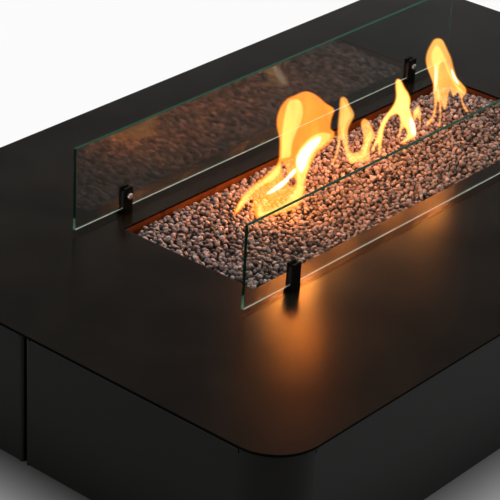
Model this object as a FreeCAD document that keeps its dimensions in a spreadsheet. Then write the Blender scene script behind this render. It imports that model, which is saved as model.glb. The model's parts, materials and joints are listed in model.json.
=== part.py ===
import FreeCAD, Part
import os
import re
import Sketcher

# Low rectangular fire pit table. Millimetres, +Z up, X along the table, Y across it.
# The origin is on the floor under the middle of the table.

SIZES = {
    # Top plate and its burner opening
    "table_length": 1600,
    "table_width": 1000,
    "table_height": 350,
    "plate_thickness": 4,
    "plate_corner": 80,
    "plate_edge_round": 0.6,
    "opening_length": 890,
    "opening_width": 281,
    # Folded outer shells
    "body_depth": 235,
    "shadow_gap": 3,
    "wall_inset": 3.5,
    "wall_sheet": 2,
    "fold_radius": 3,
    "flange_width": 24,
    "notch_width": 2,
    "notch_depth": 8,
    "seam_gap": 4,
    "seam_offset": 11,
    "seam_fold": 7,
    "seam_flange": 20,
    "seam_strip_setback": 8,
    "seam_bolt_radius": 2.5,
    "seam_bolt_pitch": 75,
    # Tube frame under the plate
    "rail_size": 30,
    "rail_wall": 2,
    "rail_gap": 1,
    "stud_radius": 3,
    "stud_clearance": 0.5,
    "stud_pitch": 600,
    "cross_stud_pitch": 220,
    "stud_end": 10,
    "spacer_size": 18,
    # Floor sheet and recessed plinth
    "pan_sheet": 2,
    "pan_gap": 1,
    "vent_length": 60,
    "vent_width": 8,
    "vent_pitch": 30,
    "vent_count": 20,
    "vent_offset": 70,
    "plinth_setback": 200,
    "plinth_clearance": 18,
    "plinth_sheet": 3,
    "plinth_flange": 45,
    "plinth_bolt_pitch": 400,
    "plinth_bolt_inset": 22,
    # Levelling feet
    "foot_inset": 60,
    "foot_radius": 25,
    "foot_pad": 8,
    "foot_pad_round": 2,
    "foot_hex_across": 9,
    "foot_hex_height": 6,
    "foot_stem_radius": 6,
    "foot_stem_length": 62,
    "foot_clearance": 0.1,
    "foot_nut_across": 11,
    "foot_nut_height": 10,
    # Burner tray, grate and stones
    "tray_overhang": 4,
    "tray_depth": 92,
    "tray_sheet": 2,
    "tray_flange": 20,
    "tray_stud_radius": 2.5,
    "tray_stud_pitch": 380,
    "drain_radius": 6,
    "ledge_width": 12,
    "grate_depth": 38,
    "grate_gap": 1,
    "grate_slot_length": 90,
    "grate_slot_width": 6,
    "grate_slot_pitch": 42,
    "grate_slot_count": 20,
    "stone_crown": 5,
    "stone_edge_drop": 6,
    "stone_slope": 40,
    # Burner pipe and what feeds it
    "burner_length": 700,
    "burner_radius": 11,
    "burner_bore": 9,
    "burner_drop": 62,
    "port_radius": 1.5,
    "port_pitch": 28,
    "port_count": 24,
    "saddle_width": 30,
    "saddle_length": 20,
    "saddle_pitch": 300,
    "injector_radius": 9,
    "injector_bore": 3,
    "injector_spigot": 5.9,
    "injector_collar": 14,
    "injector_air_hole": 2,
    "injector_seat_gap": 0.5,
    "injector_reach": 1,
    "running_clearance": 0.1,
    "feed_radius": 5,
    "feed_bore": 4,
    "feed_bend": 18,
    "feed_rise": 14,
    "lead_bend": 18,
    # Spark rod and flame sensor
    "spark_x": 60,
    "spark_y": 26,
    "spark_radius": 1.5,
    "ceramic_radius": 4,
    "spark_lead_radius": 1.6,
    "sensor_x": 26,
    "sensor_y": 26,
    "sensor_radius": 3,
    "sensor_lead_radius": 1.3,
    "probe_height": 34,
    "probe_collar": 2,
    "probe_tip": 8,
    # Controls in the rear shell
    "button_pitch": 60,
    "window_length": 150,
    "window_height": 76,
    "panel_recess": 26,
    "panel_sheet": 2,
    "panel_flange": 14,
    "panel_screw_radius": 2,
    "valve_length": 70,
    "valve_height": 32,
    "valve_depth": 50,
    "valve_boss": 10,
    "valve_boss_radius": 9,
    "port_stub": 8,
    "port_stub_radius": 8,
    "spindle_radius": 4,
    "spindle_depth": 24,
    "spindle_reach": 16,
    "spindle_end_gap": 0.5,
    "spindle_window": 1,
    "knob_radius": 20,
    "knob_gap": 4,
    "knob_base": 5,
    "knob_length": 18,
    "knob_grip": 8,
    "knob_cap": 2.4,
    "knob_hub_radius": 7.2,
    "knob_hub_drop": 1,
    "knob_bar_inset": 1,
    "knob_bar_round": 1.3,
    "igniter_radius": 8.5,
    "igniter_length": 42,
    "igniter_collar": 11,
    "igniter_collar_height": 3,
    "button_radius": 7,
    "button_length": 22,
    "button_proud": 8,
    "button_stroke": 4,
    "button_round": 1.4,
    "button_end_gap": 1,
    # Gas inlet
    "inlet_radius": 6.58,
    "inlet_length": 23,
    "inlet_shoulder": 8,
    "inlet_nut_across": 13,
    "inlet_nut_height": 5,
    "inlet_collar": 13,
    "inlet_collar_height": 6,
    "inlet_body": 10,
    "inlet_body_height": 20,
    # Glass wind screens and their clips
    "screen_shift": 8,
    "glass_length": 1020,
    "glass_height": 147,
    "glass_thickness": 6,
    "glass_chamfer": 0.5,
    "glass_offset": 182,
    "glass_lift": 7.8,
    "clip_offset": 390,
    "clip_width": 18,
    "clip_depth": 18,
    "clip_height": 46,
    "clip_wall": 4,
    "liner_drop": 9,
    "clip_floor": 5,
    "pad_clearance": 0.3,
    "clip_screw_radius": 2,
    "clip_screw_grip": 4,
    "clip_screw_end_gap": 0.5,
    "clamp_height": 31,
    "clamp_radius": 2.5,
    "clamp_head_radius": 6,
    "clamp_head_height": 4.2,
    "clamp_dome": 2.4,
    "clamp_slot_width": 1.4,
    "clamp_slot_depth": 1.6,
    "clamp_gap": 0.3,
    # Fastener proportions, as shares of the thread's radius
    "hex_across": 1.95,
    "head_height": 1.35,
    "nut_height": 1.6,
    # How far a fused piece runs into its neighbour, and a cut past its sheet
    "sink": 1,
    "cut_over": 1,
    "bolt_tail": 1,
}

doc = FreeCAD.newDocument("FirePitTable")
sheet = doc.addObject("Spreadsheet::Sheet", "Sizes")
for row, (alias, number) in enumerate(SIZES.items(), start=1):
    sheet.set(f"A{row}", alias)
    sheet.set(f"B{row}", str(number))
    sheet.setAlias(f"B{row}", alias)
doc.recompute()

# Levels and lines that several pieces share
PLATE_UNDER = "(table_height - plate_thickness)"
WALL_TOP = f"({PLATE_UNDER} - shadow_gap)"
WALL_BOTTOM = "(table_height - body_depth)"
WALL_X = "(table_length / 2 - wall_inset)"
WALL_Y = "(table_width / 2 - wall_inset)"
ROLL = "(plate_corner - wall_inset)"
STRAIGHT_X = f"({WALL_X} - {ROLL})"
STRAIGHT_Y = f"({WALL_Y} - {ROLL})"
RAIL_TOP = f"({WALL_TOP} - wall_sheet)"
RAIL_BOTTOM = f"({RAIL_TOP} - rail_size)"
RAIL_OUT_Y = f"({WALL_Y} - wall_sheet - rail_gap)"
RAIL_IN_Y = f"({RAIL_OUT_Y} - rail_size)"
STUD_Y = f"({RAIL_OUT_Y} - rail_size / 2)"
CROSS_STUD_X = f"({STRAIGHT_X} - rail_size / 2)"
STUD_HOLE = "(stud_radius + stud_clearance)"
PAN_UNDER = f"({WALL_BOTTOM} + wall_sheet)"
PAN_TOP = f"({PAN_UNDER} + pan_sheet)"
SEAM_SIDE = "(seam_gap / 2 + wall_sheet)"
SEAM_BOLT_X = f"({WALL_X} - (seam_strip_setback + seam_flange) / 2)"
SEAM_MIDDLE = f"(({WALL_TOP} + {WALL_BOTTOM}) / 2)"
SEAM_BOLT_LEVELS = [f"({SEAM_MIDDLE} + {step} * seam_bolt_pitch)" for step in (-1, 0, 1)]
PLINTH_X = "(table_length / 2 - plinth_setback)"
PLINTH_Y = "(table_width / 2 - plinth_setback)"
VENT_Y = f"({PLINTH_Y} + vent_offset)"
FOOT_X = f"({PLINTH_X} - foot_inset)"
FOOT_Y = f"({PLINTH_Y} - plinth_sheet - plinth_flange / 2)"
TRAY_X = "(opening_length / 2 + tray_overhang)"
TRAY_Y = "(opening_width / 2 + tray_overhang)"
TRAY_UNDER = f"({PLATE_UNDER} - tray_depth)"
TRAY_FLOOR = f"({TRAY_UNDER} + tray_sheet)"
TRAY_STUD_Y = f"({TRAY_Y} + tray_sheet + tray_flange / 2)"
GRATE_UNDER = "(table_height - grate_depth - tray_sheet)"
GRATE_TOP = "(table_height - grate_depth)"
BURNER_Z = "(table_height - burner_drop)"
INJECTOR_UNDER = f"({TRAY_UNDER} - injector_collar / 2)"
CONTROL_Z = f"({INJECTOR_UNDER} - feed_rise - feed_bend)"
PANEL_FRONT = f"({WALL_Y} - panel_recess)"
PANEL_BACK = f"({PANEL_FRONT} - panel_sheet)"
PANEL_X = "(button_pitch / 2)"
VALVE_FRONT = f"({PANEL_BACK} - valve_boss)"
VALVE_BACK = f"({VALVE_FRONT} - valve_depth)"
VALVE_Y = f"({VALVE_FRONT} - valve_depth / 2)"
VALVE_UNDER = f"({CONTROL_Z} - valve_height / 2)"
INLET_TOP = f"({PAN_TOP} + inlet_collar_height + inlet_body_height)"
GLASS_LOW = "(table_height + glass_lift)"
SLOT_FLOOR = "(table_height + clip_floor)"
SLOT_WIDTH = "(clip_depth - 2 * clip_wall)"
PAD_WALL = f"(({SLOT_WIDTH} - glass_thickness) / 2 - pad_clearance)"
CLAMP_Z = "(table_height + clamp_height)"

X_AXIS = FreeCAD.Vector(1, 0, 0)
Y_AXIS = FreeCAD.Vector(0, 1, 0)
Z_AXIS = FreeCAD.Vector(0, 0, 1)
LIMIT = 1e-4

NODES = []


def bound(text):
    """The expression with every size name pointed at the sheet."""
    return re.sub(r"[a-z][a-z_]*", lambda word: f"Sizes.{word.group()}", text)


def value(text):
    """The number that an expression gives now."""
    return float(sheet.evalExpression(text))


def bind(item, **properties):
    """Tie properties to expressions; a double underscore stands for a dot."""
    for name, text in properties.items():
        item.setExpression(name.replace("__", "."), bound(text))


def place(item, x, y, z):
    """Tie an object's position to three expressions."""
    bind(item, Placement__Base__x=x, Placement__Base__y=y, Placement__Base__z=z)


def node(item, name):
    """Name a finished sub-part and list it for export."""
    item.Label = name
    NODES.append(item)
    return item


# Primitive and boolean helpers

def box(name, low, high):
    """A box between two corners given as expressions."""
    item = doc.addObject("Part::Box", name)
    sizes = [f"({top}) - ({bottom})" for bottom, top in zip(low, high)]
    bind(item, Length=sizes[0], Width=sizes[1], Height=sizes[2])
    place(item, *low)
    return item


def cylinder(name, radius, length, start, direction=Z_AXIS):
    """A cylinder that starts at a point and runs along a direction."""
    item = doc.addObject("Part::Cylinder", name)
    item.Placement = FreeCAD.Placement(FreeCAD.Vector(), FreeCAD.Rotation(Z_AXIS, direction))
    bind(item, Radius=radius, Height=length)
    place(item, *start)
    return item


def hexagon(name, across, length, start, direction=Z_AXIS):
    """A six-sided prism, sized by the radius to its corners."""
    item = doc.addObject("Part::Prism", name)
    item.Polygon = 6
    item.Placement = FreeCAD.Placement(FreeCAD.Vector(), FreeCAD.Rotation(Z_AXIS, direction))
    bind(item, Circumradius=across, Height=length)
    place(item, *start)
    return item


def fuse(name, pieces):
    """One solid from pieces that touch or overlap."""
    item = doc.addObject("Part::MultiFuse", name)
    item.Shapes = pieces
    item.Refine = True
    return item


def cut(name, base, tools):
    """A piece less one or more tools."""
    item = doc.addObject("Part::Cut", name)
    item.Base = base
    item.Tool = tools[0] if len(tools) == 1 else fuse(f"{name}_tools", tools)
    return item


def group(name, pieces):
    """Several separate solids that share one node."""
    item = doc.addObject("Part::Compound", name)
    item.Links = pieces
    return node(item, name)


def edge_names(shape, test):
    """The names of the edges that pass a test."""
    return [f"Edge{index}" for index, edge in enumerate(shape.Edges, start=1) if test(edge)]


def flat_at(edge, axis, level):
    """True when both ends and the middle of an edge lie at one level of an axis."""
    low, high = edge.ParameterRange
    points = [edge.valueAt(low), edge.valueAt((low + high) / 2), edge.valueAt(high)]
    return all(abs(getattr(point, axis) - level) < LIMIT for point in points)


def rounded(name, base, radius, test):
    """Round the edges of a primitive or boolean that pass a test."""
    doc.recompute()
    item = doc.addObject("Part::Fillet", name)
    item.Base = base
    amount = value(radius)
    chosen = [index for index, edge in enumerate(base.Shape.Edges, start=1) if test(edge)]
    item.Edges = [(index, amount, amount) for index in chosen]
    return item


# Feature helpers for sheet and machined parts

def body(name):
    """An empty body with a name."""
    return doc.addObject("PartDesign::Body", name)


def sketch(owner, name, role, offset="0"):
    """A sketch on one of the body's own planes, moved along the plane's normal."""
    drawing = owner.newObject("Sketcher::SketchObject", name)
    plane = next(item for item in owner.Origin.OriginFeatures if item.Role == role)
    drawing.AttachmentSupport = [(plane, "")]
    drawing.MapMode = "FlatFace"
    bind(drawing, AttachmentOffset__Base__z=offset)
    return drawing


def pin(drawing, kind, geometry, point, text):
    """Hold one coordinate of a point at an expression."""
    rule = Sketcher.Constraint(kind, -1, 1, geometry, point, value(text))
    index = drawing.addConstraint(rule)
    drawing.setExpression(f"Constraints[{index}]", bound(text))


def outline(drawing, corners):
    """A closed outline through corners given as expressions."""
    points = [FreeCAD.Vector(value(x), value(y), 0) for x, y in corners]
    first = drawing.GeometryCount
    count = len(points)
    for index, point in enumerate(points):
        drawing.addGeometry(Part.LineSegment(point, points[(index + 1) % count]))
    for index, (x, y) in enumerate(corners):
        line = first + index
        following = first + (index + 1) % count
        drawing.addConstraint(Sketcher.Constraint("Coincident", line, 2, following, 1))
        pin(drawing, "DistanceX", line, 1, x)
        pin(drawing, "DistanceY", line, 1, y)


def rectangle(drawing, low, high):
    """A rectangle between two corners given as expressions."""
    outline(drawing, [low, (high[0], low[1]), high, (low[0], high[1])])


def circle(drawing, x, y, radius):
    """A circle with its centre and radius given as expressions."""
    centre = FreeCAD.Vector(value(x), value(y), 0)
    line = drawing.addGeometry(Part.Circle(centre, Z_AXIS, value(radius)))
    index = drawing.addConstraint(Sketcher.Constraint("Radius", line, value(radius)))
    drawing.setExpression(f"Constraints[{index}]", bound(radius))
    pin(drawing, "DistanceX", line, 3, x)
    pin(drawing, "DistanceY", line, 3, y)


def pad(owner, drawing, length, centred=False):
    """Grow a sketch along its normal, or both ways from its plane."""
    item = owner.newObject("PartDesign::Pad", f"{drawing.Name}_pad")
    item.Profile = drawing
    bind(item, Length=length)
    item.Midplane = centred
    return item


def pocket(owner, drawing, length, centred=False, along=False):
    """Cut against the sketch's normal, or along it, and check that something went."""
    doc.recompute()
    before = owner.Shape.Volume
    item = owner.newObject("PartDesign::Pocket", f"{drawing.Name}_pocket")
    item.Profile = drawing
    bind(item, Length=length)
    item.Midplane = centred
    item.Reversed = along
    doc.recompute()
    if item.Shape.Volume > before - LIMIT:
        raise RuntimeError(f"{drawing.Name} cuts nothing")
    return item


def repeat(owner, feature, drawing, length, count):
    """Copies of a feature along the sketch's own X axis."""
    item = owner.newObject("PartDesign::LinearPattern", f"{feature.Name}_row")
    item.Originals = [feature]
    item.Direction = (drawing, ["H_Axis"])
    bind(item, Length=length, Occurrences=count)
    owner.Tip = item
    return item


def dress(owner, kind, amount, test):
    """Round or bevel the body's edges that pass a test."""
    doc.recompute()
    base = owner.Tip
    names = edge_names(base.Shape, test)
    item = owner.newObject(f"PartDesign::{kind}", f"{owner.Name}_{kind}")
    item.Base = (base, names)
    if kind == "Fillet":
        bind(item, Radius=amount)
    else:
        bind(item, Size=amount)
    doc.recompute()
    return item


def upright_at(*places):
    """A test for upright edges that stand on given places."""
    spots = [(value(x), value(y)) for x, y in places]

    def test(edge):
        return any(flat_at(edge, "x", x) and flat_at(edge, "y", y) for x, y in spots)

    return test


def mirrored_places(x, y):
    """A place and its mirror image across the table's middle."""
    return [(f"-({x})", y), (x, y)]


def four_places(x, y):
    """A place in each quarter of the table."""
    return [(f"{end} * ({x})", f"{side} * ({y})") for end in (-1, 1) for side in (-1, 1)]


# Fasteners

def bolt(name, start, direction, thread, length):
    """A bolt whose head lies behind its start and whose shank runs forward."""
    shaft = cylinder(f"{name}_shank", thread, length, start, direction)
    axis = max(range(3), key=lambda index: abs(direction[index]))
    sign = "-" if direction[axis] > 0 else "+"
    behind = list(start)
    behind[axis] = f"{start[axis]} {sign} head_height * {thread}"
    cap = hexagon(f"{name}_head", f"hex_across * {thread}", f"head_height * {thread}", behind, direction)
    return fuse(name, [shaft, cap])


def nut(name, start, direction, hole, across, height):
    """A hexagon nut with a plain bore."""
    blank = hexagon(f"{name}_blank", across, height, start, direction)
    bore = cylinder(f"{name}_bore", hole, height, start, direction)
    return cut(name, blank, [bore])


def thread_nut(name, start, direction, thread):
    """A nut in proportion to the thread that it holds."""
    hole = f"{thread} + running_clearance"
    return nut(name, start, direction, hole, f"hex_across * {thread}", f"nut_height * {thread}")


# Top plate

def top_plate():
    """Flat plate with rounded corners, the burner opening and clip holes."""
    plate = body("top_plate")
    face = sketch(plate, "plate_face", "XY_Plane", PLATE_UNDER)
    half = ("table_length / 2", "table_width / 2")
    rectangle(face, (f"-{half[0]}", f"-{half[1]}"), half)
    pad(plate, face, "plate_thickness")
    dress(plate, "Fillet", "plate_corner", upright_at(*four_places(*half)))
    opening = sketch(plate, "plate_opening", "XY_Plane", "table_height")
    inner = ("opening_length / 2", "opening_width / 2")
    rectangle(opening, (f"-{inner[0]}", f"-{inner[1]}"), inner)
    pocket(plate, opening, "plate_thickness")
    holes = sketch(plate, "plate_clip_holes", "XY_Plane", "table_height")
    for x, y in four_places("clip_offset", "glass_offset"):
        circle(holes, f"{x} - screen_shift", y, "clip_screw_radius + running_clearance")
    pocket(plate, holes, "plate_thickness")
    top = value("table_height")
    outer = value("table_length / 2")
    side = value("table_width / 2")
    corner = value("plate_corner")

    def rim(edge):
        box_of = edge.BoundBox
        reach = max(abs(box_of.XMax), abs(box_of.XMin), abs(box_of.YMax), abs(box_of.YMin))
        return flat_at(edge, "z", top) and reach > min(outer, side) - corner

    dress(plate, "Fillet", "plate_edge_round", rim)
    return node(plate, "top_plate")


# Outer shells

def past_seam(side):
    """How far from the table's middle a shell's end flange starts, past the seam's fold."""
    return f"({side} * seam_offset + seam_gap / 2 + seam_fold + cut_over)"


def shell_flange(shell, name, side, level):
    """Inward flanges on the three straight runs of a shell, at one level."""
    faces = sketch(shell, name, "XY_Plane", level)
    inner_y = f"({WALL_Y} - wall_sheet)"
    inner_x = f"({WALL_X} - wall_sheet)"
    reach_y = f"({WALL_Y} - flange_width)"
    reach_x = f"({WALL_X} - flange_width)"
    run = f"({STRAIGHT_X} - notch_width)"
    rectangle(faces, (f"-{run}", f"{side} * {inner_y}"), (run, f"{side} * {reach_y}"))
    start = f"{side} * ({STRAIGHT_Y} - notch_width)"
    finish = f"{side} * ({past_seam(side)} + notch_width)"
    for end in (-1, 1):
        rectangle(faces, (f"{end} * {inner_x}", start), (f"{end} * {reach_x}", finish))
    pad(shell, faces, "wall_sheet")


def shell_notches(shell, name, side, level, along):
    """Relief slots in the wall where each flange stops."""
    slots = sketch(shell, f"{name}_corner", "XY_Plane", level)
    seams = sketch(shell, f"{name}_seam", "XY_Plane", level)
    near_y = f"{side} * ({WALL_Y} - wall_sheet - cut_over)"
    far_y = f"{side} * ({WALL_Y} + cut_over)"
    corner_y = (f"{side} * ({STRAIGHT_Y} - notch_width)", f"{side} * {STRAIGHT_Y}")
    seam_y = (f"{side} * {past_seam(side)}", f"{side} * ({past_seam(side)} + notch_width)")
    for end in (-1, 1):
        inner = f"{end} * ({STRAIGHT_X} - notch_width)"
        outer = f"{end} * {STRAIGHT_X}"
        rectangle(slots, (inner, near_y), (outer, far_y))
        wall = (f"{end} * ({WALL_X} - wall_sheet - cut_over)", f"{end} * ({WALL_X} + cut_over)")
        rectangle(slots, (wall[0], corner_y[0]), (wall[1], corner_y[1]))
        rectangle(seams, (wall[0], seam_y[0]), (wall[1], seam_y[1]))
    pocket(shell, slots, "notch_depth", along=along)
    pocket(shell, seams, "fold_radius + cut_over", along=along)


def outer_shell(name, side):
    """A U of folded sheet: one long wall, two rolled corners, two half ends."""
    shell = body(name)
    seam = f"({side} * seam_offset + seam_gap / 2)"
    seam_in = f"({side} * seam_offset + {SEAM_SIDE})"
    inner_x = f"({WALL_X} - wall_sheet)"
    inner_y = f"({WALL_Y} - wall_sheet)"
    tip = f"({WALL_X} - seam_flange)"
    half = [(tip, seam), (WALL_X, seam), (WALL_X, WALL_Y)]
    half_in = [(inner_x, inner_y), (inner_x, seam_in), (tip, seam_in)]
    profile = sketch(shell, f"{name}_profile", "XY_Plane", WALL_BOTTOM)
    left = [(f"-{x}", f"{side} * {y}") for x, y in half]
    right = [(x, f"{side} * {y}") for x, y in reversed(half)]
    back_right = [(x, f"{side} * {y}") for x, y in reversed(half_in)]
    back_left = [(f"-{x}", f"{side} * {y}") for x, y in half_in]
    outline(profile, left + right + back_right + back_left)
    pad(shell, profile, f"{WALL_TOP} - {WALL_BOTTOM}")
    outer_corner = mirrored_places(WALL_X, f"{side} * {WALL_Y}")
    inner_corner = mirrored_places(inner_x, f"{side} * {inner_y}")
    outer_seam = mirrored_places(WALL_X, f"{side} * {seam}")
    inner_seam = mirrored_places(inner_x, f"{side} * {seam_in}")
    dress(shell, "Fillet", ROLL, upright_at(*outer_corner))
    dress(shell, "Fillet", f"{ROLL} - wall_sheet", upright_at(*inner_corner))
    dress(shell, "Fillet", "seam_fold", upright_at(*outer_seam))
    dress(shell, "Fillet", "seam_fold - wall_sheet", upright_at(*inner_seam))
    shell_flange(shell, f"{name}_top_flange", side, f"{WALL_TOP} - wall_sheet")
    shell_flange(shell, f"{name}_bottom_flange", side, WALL_BOTTOM)
    shell_notches(shell, f"{name}_top_slots", side, WALL_TOP, False)
    shell_notches(shell, f"{name}_bottom_slots", side, WALL_BOTTOM, True)
    wall_x = value(WALL_X)
    wall_y = value(f"{side} * {WALL_Y}")
    levels = (value(WALL_TOP), value(WALL_BOTTOM))
    shortest = value("2 * (seam_fold + notch_width)")

    def fold(edge):
        on_wall = flat_at(edge, "y", wall_y) or flat_at(edge, "x", wall_x) or flat_at(edge, "x", -wall_x)
        on_level = flat_at(edge, "z", levels[0]) or flat_at(edge, "z", levels[1])
        return on_wall and on_level and edge.Length > shortest

    dress(shell, "Fillet", "fold_radius", fold)
    studs = sketch(shell, f"{name}_stud_holes", "XY_Plane", WALL_TOP)
    for step in (-1, 0, 1):
        circle(studs, f"{step} * stud_pitch", f"{side} * {STUD_Y}", STUD_HOLE)
    pocket(shell, studs, "wall_sheet")
    bolts = sketch(shell, f"{name}_seam_holes", "XZ_Plane", "-seam_offset")
    for x in (f"-{SEAM_BOLT_X}", SEAM_BOLT_X):
        for level in SEAM_BOLT_LEVELS:
            circle(bolts, x, level, "seam_bolt_radius + running_clearance")
    pocket(shell, bolts, "seam_gap + 2 * (wall_sheet + cut_over)", centred=True)
    return shell


def rear_shell():
    """The rear shell also has a window for the controls."""
    shell = outer_shell("rear_shell", 1)
    window = sketch(shell, "rear_shell_window", "XZ_Plane", f"-({WALL_Y} + cut_over)")
    low = (f"{PANEL_X} - window_length / 2", f"{CONTROL_Z} - window_height / 2")
    high = (f"{PANEL_X} + window_length / 2", f"{CONTROL_Z} + window_height / 2")
    rectangle(window, low, high)
    pocket(shell, window, "wall_sheet + 2 * cut_over", along=True)
    return node(shell, "rear_shell")


def seam_parts():
    """Spacer strips in both seams, and the bolts through them."""
    bolts = []
    for end, label in ((-1, "left"), (1, "right")):
        outer = f"{end} * ({WALL_X} - seam_strip_setback)"
        inner = f"{end} * ({WALL_X} - seam_flange)"
        low_x, high_x = (outer, inner) if end < 0 else (inner, outer)
        low = (low_x, "seam_offset - seam_gap / 2", f"{WALL_BOTTOM} + fold_radius * 2")
        high = (high_x, "seam_offset + seam_gap / 2", f"{WALL_TOP} - fold_radius * 2")
        strip = box(f"{label}_strip_blank", low, high)
        holes = []
        for step, level in enumerate(SEAM_BOLT_LEVELS):
            x = f"{end} * {SEAM_BOLT_X}"
            name = f"{label}_seam_bolt_{step}"
            bore = "seam_bolt_radius + running_clearance"
            near = "seam_offset - seam_gap / 2"
            holes.append(cylinder(f"{name}_hole", bore, "seam_gap", (x, near, level), Y_AXIS))
            start = (x, f"seam_offset - {SEAM_SIDE}", level)
            length = f"2 * {SEAM_SIDE} + nut_height * seam_bolt_radius + bolt_tail"
            bolts.append(bolt(name, start, Y_AXIS, "seam_bolt_radius", length))
            seat = (x, f"seam_offset + {SEAM_SIDE}", level)
            bolts.append(thread_nut(f"{name}_nut", seat, Y_AXIS, "seam_bolt_radius"))
        node(cut(f"{label}_seam_strip", strip, holes), f"{label}_seam_strip")
    group("seam_bolts", bolts)


# Tube frame

def frame_tube(name, low, high, along, holes=()):
    """A square tube between two corners, hollow along one axis."""
    blank = box(f"{name}_blank", low, high)
    inner_low = [f"({text}) + rail_wall" for text in low]
    inner_high = [f"({text}) - rail_wall" for text in high]
    inner_low[along] = low[along]
    inner_high[along] = high[along]
    hollow = box(f"{name}_hollow", inner_low, inner_high)
    return node(cut(name, blank, [hollow, *holes]), name)


def frame():
    """Rails under the plate, posts, and the studs, nuts and spacers of the plate."""
    stud_places = {"front_rail": [], "rear_rail": [], "left_cross_rail": [], "right_cross_rail": []}
    for side, name in ((-1, "front_rail"), (1, "rear_rail")):
        for step in (-1, 0, 1):
            stud_places[name].append((f"{step} * stud_pitch", f"{side} * {STUD_Y}"))
    for end, name in ((-1, "left_cross_rail"), (1, "right_cross_rail")):
        for side in (-1, 1):
            stud_places[name].append((f"{end} * {CROSS_STUD_X}", f"{side} * cross_stud_pitch"))
    spans = {
        "front_rail": ((f"-{STRAIGHT_X}", f"-{RAIL_OUT_Y}"), (STRAIGHT_X, f"-{RAIL_IN_Y}"), 0),
        "rear_rail": ((f"-{STRAIGHT_X}", RAIL_IN_Y), (STRAIGHT_X, RAIL_OUT_Y), 0),
        "left_cross_rail": ((f"-{STRAIGHT_X}", f"-{RAIL_IN_Y}"),
                            (f"-({STRAIGHT_X} - rail_size)", RAIL_IN_Y), 1),
        "right_cross_rail": ((f"{STRAIGHT_X} - rail_size", f"-{RAIL_IN_Y}"),
                             (STRAIGHT_X, RAIL_IN_Y), 1),
    }
    spacers = []
    fasteners = []
    for name, (low, high, along) in spans.items():
        holes = []
        seat = RAIL_TOP if "cross" in name else WALL_TOP
        for index, (x, y) in enumerate(stud_places[name]):
            tag = f"{name}_{index}"
            hole = cylinder(f"{tag}_hole", STUD_HOLE, "rail_size", (x, y, RAIL_BOTTOM))
            holes.append(hole)
            half = "spacer_size / 2"
            block = box(f"{tag}_block", (f"{x} - {half}", f"{y} - {half}", seat),
                        (f"{x} + {half}", f"{y} + {half}", PLATE_UNDER))
            bore = cylinder(f"{tag}_bore", STUD_HOLE, f"{PLATE_UNDER} - {seat}", (x, y, seat))
            spacers.append(cut(f"{tag}_spacer", block, [bore]))
            length = f"{PLATE_UNDER} - {RAIL_BOTTOM} + stud_end"
            start = (x, y, f"{RAIL_BOTTOM} - stud_end")
            fasteners.append(cylinder(f"{tag}_stud", "stud_radius", length, start))
            nut_low = f"{RAIL_BOTTOM} - nut_height * stud_radius"
            fasteners.append(thread_nut(f"{tag}_nut", (x, y, nut_low), Z_AXIS, "stud_radius"))
        frame_tube(name, (*low, RAIL_BOTTOM), (*high, RAIL_TOP), along, holes)
    for end, end_name in ((-1, "left"), (1, "right")):
        for side, side_name in ((-1, "front"), (1, "rear")):
            xs = [f"{end} * {STRAIGHT_X}", f"{end} * ({STRAIGHT_X} - rail_size)"]
            ys = [f"{side} * {RAIL_OUT_Y}", f"{side} * {RAIL_IN_Y}"]
            xs = xs if end < 0 else xs[::-1]
            ys = ys if side < 0 else ys[::-1]
            frame_tube(f"{side_name}_{end_name}_post", (xs[0], ys[0], PAN_TOP),
                       (xs[1], ys[1], RAIL_BOTTOM), 2)
    group("plate_spacers", spacers)
    group("plate_fasteners", fasteners)


# Floor sheet and plinth

PLINTH_BOLTS = four_places("plinth_bolt_pitch", f"{PLINTH_Y} - plinth_sheet - plinth_bolt_inset")
PLINTH_BOLT_HOLE = "(stud_radius + running_clearance)"


def base_pan():
    """Floor sheet with rolled corners, air slots, bolt holes and the pipe hole."""
    pan = body("base_pan")
    edge_x = f"({WALL_X} - wall_sheet - pan_gap)"
    edge_y = f"({WALL_Y} - wall_sheet - pan_gap)"
    notch_x = f"({WALL_X} - seam_flange - pan_gap)"
    notch_half = "(seam_gap / 2 + seam_fold + pan_gap)"
    notch_low = f"(seam_offset - {notch_half})"
    notch_high = f"(seam_offset + {notch_half})"
    face = sketch(pan, "pan_face", "XY_Plane", PAN_UNDER)
    right = [(edge_x, f"-{edge_y}"), (edge_x, notch_low), (notch_x, notch_low),
             (notch_x, notch_high), (edge_x, notch_high), (edge_x, edge_y)]
    left = [(f"-{x}", y) for x, y in reversed(right)]
    outline(face, right + left)
    pad(pan, face, "pan_sheet")
    dress(pan, "Fillet", f"{ROLL} - wall_sheet - pan_gap", upright_at(*four_places(edge_x, edge_y)))
    holes = sketch(pan, "pan_holes", "XY_Plane", PAN_TOP)
    circle(holes, "0", VALVE_Y, "inlet_shoulder + running_clearance")
    for x, y in PLINTH_BOLTS:
        circle(holes, x, y, PLINTH_BOLT_HOLE)
    pocket(pan, holes, "pan_sheet")
    for side, label in ((-1, "front"), (1, "rear")):
        slot = sketch(pan, f"pan_{label}_slot", "XY_Plane", PAN_TOP)
        start = "-(vent_count - 1) * vent_pitch / 2"
        y = f"{side} * {VENT_Y}"
        low = (f"{start} - vent_width / 2", f"{y} - vent_length / 2")
        rectangle(slot, low, (f"{start} + vent_width / 2", f"{y} + vent_length / 2"))
        first = pocket(pan, slot, "pan_sheet")
        repeat(pan, first, slot, "(vent_count - 1) * vent_pitch", "vent_count")
    return node(pan, "base_pan")


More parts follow.
